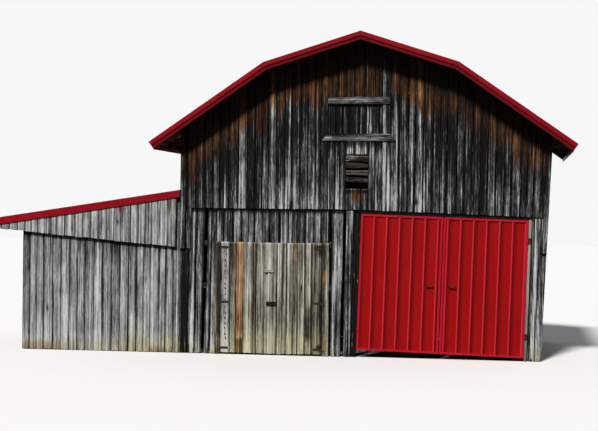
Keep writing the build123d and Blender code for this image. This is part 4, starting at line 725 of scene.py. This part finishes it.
def gable_shade(u, v):
    """Painted shade under the roof; boards darker over the loft opening, under its sill and under the hatch; a
    black band where the brown ends; and boards that pale to their foot."""
    drop = gable_top(u) - v
    band = 0.13 * smooth(0.55, 0.95, drop) * smooth(1.9, 1.3, drop)
    if LOFT[0] < u < LOFT[1] and v > LOFT[3]:
        band = max(band, 0.2)
    if CASE[0] - 0.11 < u < CASE[1] + 0.11 and v < SILL_FOOT:
        dark_below = 0.08 + 0.08 * noise.noise(Vector((u * 9, 0.5, 2.5)))
        band = max(band, 0.42 * smooth(dark_below + 0.09, dark_below - 0.06, SILL_FOOT - v))
    below = under_hatch(u, v)
    band += 0.25 * smooth(0.09, 0.16, abs(u - HATCH_MIDDLE)) * smooth(0.42, 0.3, below)
    band += 0.45 * smooth(0.12, 0.02, below)
    # The first term is painted shade under the roof's overhang.
    return 0.34 * smooth(0.62, 0.4, drop) + band - 0.14 * smooth(3.7, 2.8, v)


# The gable's boards take gable_shade, with its painted shade under the roof.
gable = front_planks(FRONT, 21)
GABLE = dict(browns=gable_browns, tones=gable_tones, shade=gable_shade, rag=(0.012, 0), rows=16, nails=GABLE_NAILS)
lay(gable, [(LEFT, LOFT[0]), (FILLED, leaning(RIGHT, skirt(RIGHT)), FILLED, GABLE_END)], skirt, gable_top, **GABLE)
lay(gable, [LOFT[:2]], LOFT[3], gable_top, **GABLE)
lay(gable, [(LOFT[0], HATCH[0]), (HATCH[1], LOFT[1])], skirt, LOFT[2], **GABLE)
lay(gable, [HATCH[:2]], skirt, HATCH[2], **GABLE)
lay(gable, [HATCH[:2]], HATCH[3], LOFT[2], tones=(0.5, 0.62), rows=4,
    shade=lambda u, v: 0.8 * gable_shade(u, v) - 0.22 * smooth(3.82, 3.7, v))
for a, b, tone in FILLERS:
    gable.straight(LOFT[1] + a, LOFT[1] + b, skirt, gable_top, tone=tone, rows=16, nails=GABLE_NAILS,
                   shade=lambda u, v: 0.7 * gable_shade(u, v) - 0.14 * smooth(4.3, 3.5, v))
gable.piece("gable_boards_front", old_up, "front_gable_boards", slot="gable_boards")

wall(front_planks(INSIDE, 22), "loft_closing_boards", old_up, "loft_opening_boards",
     [(LOFT[0] - LOFT_LAP, LOFT[1] + LOFT_LAP)], LOFT[2] - LOFT_LAP, LOFT[3] + LOFT_LAP, rows=4,
     tones=(0.15, 0.33))

hatch = cross_planks(INSIDE, 23)
# Each hatch board gets a painted highlight along its top edge.
for height, tone in ((0.545, 0.36), (0.418, 0.26), (0.288, 0.44), (0.17, 0.34)):
    z = HATCH[2] + height
    top = -z - HATCH_HALF
    hatch.straight(top, -z + HATCH_HALF, HATCH[0] - HATCH_LAP, HATCH[1] + HATCH_LAP, tone=tone, brown=0.5,
                   rows=26, rough=3.0, wander=0.03, pieces=8,
                   shade=lambda u, v: -0.5 * smooth(0.02, 0.004, u - top))
hatch.piece("hatch_boards", hatch_along, "gable_hatch_boards", slot="hatch_boards")

corner = front_planks(GABLE_FACE, 24)
# The corner boards take gable_shade, with its painted shade under the roof.
CORNER = dict(rows=14, rag=(0.015, 0), brown=lambda u, v: 0.55 * smooth(1.1, 0.6, gable_top(u) - v),
              shade=gable_shade, nails=(2.0, 2.7, 3.3))
corner.straight(LEFT, LEFT + 0.097, CORNER_FOOT, lambda x: roof_height(x, CORNER_DROP), tone=0.46, **CORNER)
corner.board(*([(leaning(x, z(x)), z(x)) for x in (RIGHT - 0.092, RIGHT)]
               for z in (lambda x: CORNER_FOOT, lambda x: leaning_height(x, CORNER_DROP))), tone=0.52, **CORNER)
corner.origin = Vector((0, FRONT, 0))
corner.straight(LEFT + 0.12, LEFT + 0.206, CORNER_FOOT, SKIRT - 0.003, tone=0.5, rows=6, rag=(0.015, 0))
corner.piece("corner_boards", old_up, "front_corner_boards")

casing = cross_planks(GABLE_FACE, 25)
# The lintel gets a painted highlight along its top edge.
casing.straight(-LINTEL_HEAD, -LOFT[3], *CASE, CASE_THICK, tone=0.54, rows=14,
                shade=lambda u, v: -0.12 * smooth(-4.64, -4.66, u))
casing.board(((-LOFT[2], CASE[0]), (-SILL_FOOT, CASE[0] - SILL_MITRE)),
             ((-LOFT[2], CASE[1]), (-SILL_FOOT, CASE[1] + SILL_MITRE)), CASE_THICK, tone=0.6, rows=14,
             shade=lambda u, v: -0.14 * smooth(1.2, 0.8, v))
casing.piece("loft_casing", old_along, "loft_opening_casing")

# ---- Side, back and lean-to walls ----
LEAN_LEFT, LEAN_TIP = LEFT - LEAN_WIDTH, LEFT - LEAN_RUN
SIDE_NAILS, LEAN_NAILS = (0.28, 1.3, 2.3, 3.4), (0.25, 1.05, 1.95)
LEAN_STEPS = [i / 20 for i in range(12)] + [0.6 + 0.03 * i for i in range(13)] + [1.0]
APRON = (LEAN_TIP + 0.03, LEFT - 0.07)
APRON_OUT, APRON_FOOT, APRON_FALL, BEARER = 0.045, 2.228, 0.302, 0.06


def rear_browns(rng, u):
    rule = gable_browns(rng, -u)
    return lambda u, v: rule(-u, v)


def apron_foot(u):
    s = (u - APRON[0]) / (APRON[1] - APRON[0])
    return APRON_FOOT - APRON_FALL * s + 0.004 * sin(u * 5.1)


def apron_run(u, v):
    """Red that has run down from the verge trim."""
    return smooth(0.055, 0.01, abs(u + 2.895)) * smooth(2.48, 2.6, v)


def lean_top(x):
    return lean_height(x, BATTEN_DROP) - 0.002


def lean_stain(u, v):
    """The yellow-green foot of the right half, and a splashed foot all along."""
    top = 0.56 + 0.25 * noise.noise(Vector((u * 5, 3.5, 0)))
    return max(0.85 * smooth(top, 0.05, v) * smooth(LEAN_LEFT + 1.2, LEFT - 0.9, u), 0.62 * smooth(0.45, 0.08, v))


def lean_shade(u, v):
    """Uneven painted shadow under the apron, boards that darken upwards and towards the barn, and boards that pale
    towards the ground.
    """
    uneven = 0.5 + 0.5 * noise.noise(Vector((u * 7, 0.5, 0)))
    # Painted shadow under the apron's foot.
    dark_below = 0.45 * uneven * smooth(0.05 + 0.2 * uneven, 0.0, apron_foot(u) - v)
    pale = 0.08 * smooth(0.9, 0.2, v) + 0.03 * lean_stain(u, v)
    return 0.08 * smooth(1.4, 2.1, v) + dark_below - pale - pale_foot(v, 0.13) + 0.1 * smooth(LEFT - 0.25, LEFT, u)


def lean_browns(rng, x):
    """A brown foot at the left end, and a browner patch near the right end."""
    height = rng.uniform(0.22, 0.4)
    share = 0.6 * smooth(LEAN_LEFT + 1.5, LEAN_LEFT + 0.5, x) + 0.65 * smooth(0.45, 0.1, abs(x + 2.15))
    return lambda u, v: share * smooth(height, 0.04, v)


SIDE = dict(rows=14, tones=(0.34, 0.58), stain=splash(0.4, 0.4), nails=SIDE_NAILS, **CLOSED)
wall(left_planks(LEFT, 31), "left_side_boards", old_up, "left_side_wall", [(INSIDE, -INSIDE)], GROUND_CLEAR,
     roof_height(RIGHT, RAFTER_DROP), **SIDE)
right_side = Planks((leaning(RIGHT - BOARD, 0), 0, 0), (0, 1, 0), (sin(WALL_LEAN), 0, cos(WALL_LEAN)), 32)
wall(right_side, "right_side_boards", old_up, "right_side_wall", [(INSIDE, -INSIDE)], GROUND_CLEAR,
     leaning_height(RIGHT, RAFTER_DROP) / cos(WALL_LEAN) - 0.004, **SIDE)
# The back wall takes gable_shade, with its painted shade under the roof.
wall(rear_planks(33), "back_boards", old_up, "back_wall",
     [(-leaning(RIGHT, 0), -LEFT, -GABLE_END, -LEFT)], GROUND_CLEAR, lambda u: gable_top(-u),
     rows=22, browns=rear_browns, tones=(0.32, 0.56), stain=splash(0.4, 0.4),
     shade=lambda u, v: 0.6 * gable_shade(-u, v), nails=(*SIDE_NAILS, 4.4, 5.2), **CLOSED)

LEAN = dict(slot="lean_to_boards", nails=LEAN_NAILS)
LEAN_REST = dict(rows=14, tones=(0.48, 0.7), stain=splash(0.4, 0.5), **LEAN, **CLOSED)
wall(front_planks(INSIDE, 41), "lean_to_front_boards", silver_up, "lean_to_front_wall", [(LEAN_LEFT, LEFT)],
     GROUND_CLEAR, lean_top, steps=LEAN_STEPS, rag=(0.02, 0), stain=lean_stain, tones=(0.54, 0.8),
     shade=lean_shade, browns=lean_browns, **LEAN)
wall(rear_planks(42), "lean_to_back_boards", silver_up, "lean_to_back_wall", [(-LEFT, -LEAN_LEFT)],
     GROUND_CLEAR, lambda u: lean_top(-u), **LEAN_REST)
wall(left_planks(LEAN_LEFT, 43), "lean_to_side_boards", silver_up, "lean_to_left_wall", [(INSIDE, -INSIDE)],
     GROUND_CLEAR, lean_height(LEAN_LEFT, LEAN_RAFTER_DROP), **LEAN_REST)
wall(front_planks(FRONT - APRON_OUT, 44), "lean_to_apron_boards", silver_up, "lean_to_apron", [APRON],
     apron_foot, lean_top, slot="lean_to_boards", rows=8, rag=(0.016, 0), tones=(0.6, 0.76), run=apron_run,
     nails=(2.52,), gap=(0.003, 0.008))
bearer = cross_planks(FRONT, 45)
bearer.board(*([(-lean_top(x) + d, x) for d in (0, BEARER)] for x in APRON), APRON_OUT - 0.001, tone=0.4,
             warp=0.0, rough=0.0)
bearer.piece("lean_to_apron_bearer", door_along, slot="lean_to_boards")

# ---- Middle post and plank doors ----
CASING_THICK = 0.03
LEAF_FACE, LEAF_FOOT, LEAF_GAP, LEAF_SAG = FRONT - 0.03, 0.035, 0.006, 0.012
SEAM = LEFT + 1.792
LEDGES, LEDGE_HALF, LEDGE_INSET, LEDGE_THICK = (0.27, 1.01, 1.79), 0.06, 0.045, 0.024
STRAPS, STRAP_BOLTS, STRAP_THICK = (0.12, 0.95, 1.94), (0.045, 0.09, 0.132), 0.004
DOOR_STEPS = (0.0, 0.02, 0.05, 0.1, 0.16, 0.22, 0.3, 0.38, 0.46, 0.54, 0.62, 0.68, 0.74, 0.8, 0.86, 0.92, 0.96,
              0.98, 0.992, 1.0)
# Leaves: left side, right side, seed, and each board's right edge and tone, and its brown and orange if any
LEAVES = {
    "left": (WOOD_LEFT + LEAF_GAP, SEAM - LEAF_GAP, 61, (
        (-0.852, 0.82), (-0.731, 0.46, 0.4), (-0.602, 0.5, 0, 1), (-0.42, 0.7), (-0.358, 0.42, 0.55, 0.35),
        (-0.216, 0.66, 0.1), (-0.058, 0.74), (None, 0.66),
    )),
    "right": (SEAM + LEAF_GAP, WOOD_RIGHT - LEAF_GAP, 62, (
        (0.114, 0.62), (0.196, 0.46, 0.15), (0.312, 0.68), (0.39, 0.52, 0.1), (0.533, 0.54), (0.642, 0.5),
        (None, 0.4, 0.5),
    )),
}
# Blocks of the pull: left and right, low and high, tone and brown
GRIP_BLOCKS = ((-0.205, -0.045, 1.488, 1.546, 0.76, 0.0), (-0.173, 0.002, 0.9, 0.968, 0.26, 0.8))
SMEARS = ((0.8, 1.925, 0.12, 0.07), (0.84, 0.98, 0.05, 0.08), (0.8, 0.14, 0.07, 0.06))
GRIP_BARS = ((-0.139, -0.112), (-0.086, -0.058))


def smears(u, v):
    """Rusty grime round the straps of the right leaf."""
    return max(smooth(1.0, 0.55, hypot((u - x) / wide, (v - z) / high)) for x, z, wide, high in SMEARS)


def right_casing_brown(u, v):
    return max(0.55 * smooth(WOOD_RIGHT + 0.085, WOOD_RIGHT + 0.06, u), smears(u, v))


def right_casing_orange(u, v):
    """A bare patch half way up."""
    return 0.85 * smooth(0.045, 0.02, abs(u - WOOD_RIGHT - 0.055)) * smooth(0.11, 0.05, abs(v - 1.45))


# Painted highlight along the top ends of the door boards and casings.
def painted_top_highlight(u, v):
    return -0.3 * smooth(WOOD_TOP - 0.035, WOOD_TOP - 0.012, v)


def right_casing_shade(u, v):
    """A dark board with a painted highlight at its head, and a pale foot and outer edge."""
    edge = 0.08 - 0.3 * smooth(WOOD_RIGHT + 0.088, WOOD_RIGHT + 0.108, u)
    return painted_top_highlight(u, v) + edge - 0.12 * smooth(0.5, 0.1, v)


def door_stain(u, v):
    return smooth(0.85, 0.1, v)


def door_shade(u, v):
    """A painted highlight at the head, pale at the foot, with stains on the right leaf."""
    stain = 0.42 * smooth(0.22, 0.34, v) * smooth(0.95, 0.72, v) if 0.537 < u < 0.645 else 0.0
    stain = max(stain, 0.3 * smears(u, v))
    return painted_top_highlight(u, v) - 0.31 * smooth(0.7, 0.1, v) + stain


def door_orange(u, v):
    """A yellow streak high on the right leaf."""
    return 0.5 * smooth(1.6, 1.76, v) if 0.316 < u < 0.392 else 0.0


post = front_planks(FRONT + POST_DEPTH, 51)
post_head = POST_FOOT + POST_LEAN / BOARD_TOP * JOIST_FOOT
post.board(*([(x, z), (x + POST_WIDTH, z)] for x, z in ((POST_FOOT, GROUND_CLEAR), (post_head, JOIST_FOOT))),
           POST_DEPTH, tone=0.5, rows=18, rag=(0.02, 0), rough=1.6, pieces=8)
post.piece("middle_post_timber", old_up, "middle_post")

stiles = front_planks(INSIDE, 52)
for a, b in ((CASING_LEFT, WOOD_LEFT), (WOOD_RIGHT, CASING_RIGHT)):
    stiles.straight(a, b, GROUND_CLEAR, WOOD_TOP - CASING_LAP, tone=0.45)
stiles.origin = Vector((0, FRONT, 0))
STILE = dict(rag=(0.02, 0.004), stain=splash(0.7, 1.0), steps=DOOR_STEPS, nails=(0.3, 1.0, 1.7), pieces=9)
# The left casing gets the painted highlight at its head and a paler left edge.
stiles.straight(CASING_LEFT, WOOD_LEFT, GROUND_CLEAR, WOOD_TOP, CASING_THICK, tone=0.3,
                brown=lambda u, v: 0.9 * smooth(CASING_LEFT + 0.006, CASING_LEFT + 0.024, u) * smooth(0.1, 0.5, v),
                shade=lambda u, v: painted_top_highlight(u, v) - 0.22 * smooth(CASING_LEFT + 0.022, CASING_LEFT + 0.008, u),
                **STILE)
stiles.straight(WOOD_RIGHT, CASING_RIGHT, GROUND_CLEAR, WOOD_TOP, CASING_THICK, tone=0.45,
                brown=right_casing_brown, orange=right_casing_orange, shade=right_casing_shade, **STILE)
stiles.piece("wood_door_casing_boards", door_up, "wood_door_casings", slot="old_door_wood")

for side, (start, end, seed, boards) in LEAVES.items():
    body = f"wood_door_{side}"
    leaf, pale = front_planks(LEAF_FACE + BOARD, seed), front_planks(LEAF_FACE + BOARD, seed + 10)
    hinge, way = (start, 1) if side == "left" else (end, -1)
    left = start

    def sunk(height):
        """The height, let down by the leaf's sag."""
        return lambda u: height - LEAF_SAG * abs(u - hinge) / (end - start)

    for i, board in enumerate(boards):
        right, tone, brown, orange = (*board, 0, 0)[:4]
        right = end + 0.004 if right is None else right
        if side == "left" and i == 0:
            target, stain, nails = pale, lambda u, v: 0.36 + 0.15 * door_stain(u, v), ()
        else:
            target, stain, nails = leaf, door_stain, LEDGES
        target.straight(
            left, right - 0.004, sunk(LEAF_FOOT), sunk(WOOD_TOP), tone=tone, shade=door_shade, stain=stain,
            brown=lambda u, v: max(0.9 * brown, smears(u, v), 0.9 * (orange == 1) * smooth(0.6, 0.3, v)),
            orange=(lambda u, v: orange * smooth(0.1, 0.5, v)) if orange else door_orange,
            rag=(0.012, 0.004), steps=DOOR_STEPS, nails=nails)
        left = right
    if pale.verts:
        pale.piece("wood_door_left_pale_board", silver_up, body=body, slot="old_door_wood")
    ledges = cross_planks(LEAF_FACE + 2 * BOARD, seed + 5)
    for z in LEDGES:
        ledges.straight(-z - LEDGE_HALF, -z + LEDGE_HALF, start + LEDGE_INSET, end - LEDGE_INSET, LEDGE_THICK,
                        rows=6)
    leaf.piece(f"wood_door_{side}_boards", door_up, body, body=body, slot="old_door_wood")
    ledges.piece(f"wood_door_{side}_ledges", door_along, body=body, slot="old_door_wood")
    bolts = [(Vector((hinge - 0.006 * way + way * d, LEAF_FACE - STRAP_THICK, z)), OUTWARD)
             for d in STRAP_BOLTS for z in STRAPS]
    heads(f"wood_hinge_bolts_{side}", bolts, 0.007, 0.004, 8, body, rusty_iron)

holes = []
rng = random.Random(77)
z = 0.3
while z < 1.96:
    x = -0.925 + rng.uniform(-0.012, 0.012)
    holes += [(Vector((x + 0.3 * drop, LEAF_FACE, z - drop)), OUTWARD) for drop in (0, 0.017)]
    z += rng.uniform(0.055, 0.12)
heads("wood_door_nail_holes", holes, 0.013, 0.0012, 7, "wood_door_left")

grip = cross_planks(LEAF_FACE, 65)
# Each block of the pull gets a painted highlight along its top edge.
for a, b, low, high, tone, brown in GRIP_BLOCKS:
    grip.straight(-high, -low, a, b, 0.028, tone=tone, brown=brown, rows=6,
                  shade=lambda u, v: -0.3 * smooth(0.016, 0.004, u + high))
grip.piece("wood_door_grip_blocks", door_along, body="wood_door_left", slot="old_door_wood")
bar = front_planks(LEAF_FACE, 66)
for a, b in GRIP_BARS:
    bar.straight(a, b, 0.955, 1.5, 0.02, tone=0.66, rows=8)
bar.piece("wood_door_grip_bars", door_up, body="wood_door_left", slot="old_door_wood")

# ---- Solids that stay, nails and sheet screws ----
SCREW_X, SCREW_Y, SCREW_V = 0.075, [(i - 10.5) * RIB_PITCH + 0.062 for i in range(22)], (-1.12, -0.4, 0.4, 1.12)
# Sheets, with the x of their first and last row of screws and the number of rows
SHEETS = (
    ("roof_sheet_left_lower", RIDGE_X - 3.66, RIDGE_X - 1.88, 4),
    ("roof_sheet_left_upper", RIDGE_X - 1.6, RIDGE_X - 0.28, 3),
    ("roof_sheet_right_upper", RIDGE_X + 0.28, RIDGE_X + 1.6, 3),
    ("roof_sheet_right_lower", RIDGE_X + 1.88, RIDGE_X + 3.66, 4),
    ("lean_to_roof_sheet", LEAN_TIP + 0.16, LEAN_TIP + 3.36, 5),
)
ABOVE, BEFORE = 7.0, -3.0


def dress(material, names):
    """Gives nodes of the frame a material."""
    for name in names.split():
        obj = nodes[name]
        if not obj.material_slots:
            obj.data.materials.append(material)
        for slot in obj.material_slots:
            slot.material = material


def hits(node, starts, direction):
    """Where rays from starts meet a node of the frame, as (point, outward direction)."""
    mesh, direction = nodes[node].data, Vector(direction)
    tree = BVHTree.FromPolygons([v.co for v in mesh.vertices], [p.vertices for p in mesh.polygons])
    found = []
    for start in starts:
        point, normal, _, _ = tree.ray_cast(Vector(start), direction)
        if point is not None:
            found.append((point, normal if normal.dot(direction) < 0 else -normal))
    return found


dress(timber[Z_AXIS], "wall_posts knee_posts")
dress(timber[Y_AXIS], "wall_plates ledgers roof_beams loft_floor roof_battens")
dress(timber[X_AXIS], "loft_joists lower_rafters upper_rafters lean_to_rafters")
dress(dim_timber, "wall_rails")
dress(jamb_wood(), "red_doorway_jambs")
# The doorway's head gets painted shade.
dress(painted_shade_timber, "red_doorway_head")
dress(roof_red, "roof_caps")
dress(trim_red, "rake_trims eave_fascias lean_to_verge_trims lean_to_fascia")
dress(barge_red, "barge_boards")
dress(dark_iron, "red_door_hinges")
dress(rusty_iron, "wood_hinges_left wood_hinges_right wood_door_pintles")

for body, found in NAILS.items():
    heads(f"nails_{body}", found, 0.0042, 0.0014, 7, body)
screws = []
for node, first, last, rows in SHEETS:
    dress(roof_red, node)
    lines = [first + (last - first) * i / (rows - 1) for i in range(rows)]
    screws += hits(node, [(x, y, ABOVE) for x in lines for y in SCREW_Y], DOWN)
heads("roof_screws", screws, 0.0085, 0.006, 6, "barn", screw_red)
for side, way in (("left", 1), ("right", -1)):
    dress(door_edge_red, f"red_door_{side}_frame")
    dress(door_reds[side], f"red_door_{side}_sheet")
    dress(dark_iron, f"red_door_{side}_pull")
    places = [bay(DOOR_RIBS[side] + way * (i * RIB_PITCH) + SCREW_X, v) for i in range(6) for v in SCREW_V]
    found = hits(f"red_door_{side}_sheet", [(x, BEFORE, z) for x, z in places], INWARD)
    heads(f"red_door_{side}_screws", found, 0.006, 0.004, 6, f"red_door_{side}", screw_red)

# ---- Floor, light and camera ----
FLOOR = 90.0
FLOOR_SEEN, FLOOR_LIT = (0.78, 0.77, 0.75), (0.08, 0.075, 0.07)
SKY_SEEN, SKY_FRONT, SKY_BACK = (0.93, 0.93, 0.93), (0.06, 0.065, 0.072), (0.5, 0.51, 0.53)
SUN_WAY = (0.2, 1.0, -1.05)
YAW, PITCH, ROLL = 0.14157, -0.00446, 0.0115
CAMERA_PLACE = (4.2152, -28.9169, 2.6495)
FOCAL_PX, PHOTO_PX, SENSOR = 1500, 598, 36.0

floor_mesh = bpy.data.meshes.new("floor")
floor_mesh.from_pydata([(FLOOR * x, FLOOR * y, 0) for x, y in ((-1, -1), (1, -1), (1, 1), (-1, 1))], [],
                       [(0, 1, 2, 3)])
floor = new_object("floor", floor_mesh)
t = new_material("floor")
t.put(t.shader["Base Color"], t.mix(t.seen(), FLOOR_LIT, FLOOR_SEEN))
t.shader["Roughness"].default_value = 0.9
t.shader["Specular IOR Level"].default_value = 0.0
floor_mesh.materials.append(t.material)

world = bpy.data.worlds.new("studio")
bpy.context.scene.world = world
world.use_nodes = True
t = Tree(world.node_tree)
behind = t.step(t.parts(t.coords("Generated"))[1], -0.15, 0.55)
background = world.node_tree.nodes["Background"]
t.put(background.inputs["Color"], t.mix(t.seen(), t.mix(behind, SKY_FRONT, SKY_BACK), SKY_SEEN))
background.inputs["Strength"].default_value = 1.0

key = bpy.data.lights.new("key", "SUN")
key.energy = 4.4
key.angle = radians(8)
new_object("key", key).rotation_euler = Vector(SUN_WAY).to_track_quat("-Z", "Y").to_euler()

camera_data = bpy.data.cameras.new("camera")
camera_data.sensor_fit = "HORIZONTAL"
camera_data.sensor_width = SENSOR
camera_data.lens = FOCAL_PX / PHOTO_PX * SENSOR
camera_data.clip_end = 400
camera = new_object("camera", camera_data)
camera.matrix_world = (Matrix.Translation(CAMERA_PLACE) @ Matrix.Rotation(YAW, 4, "Z")
                       @ Matrix.Rotation(pi / 2 + PITCH, 4, "X") @ Matrix.Rotation(ROLL, 4, "Z"))
bpy.context.scene.camera = camera
bpy.context.scene.view_settings.view_transform = "Standard"
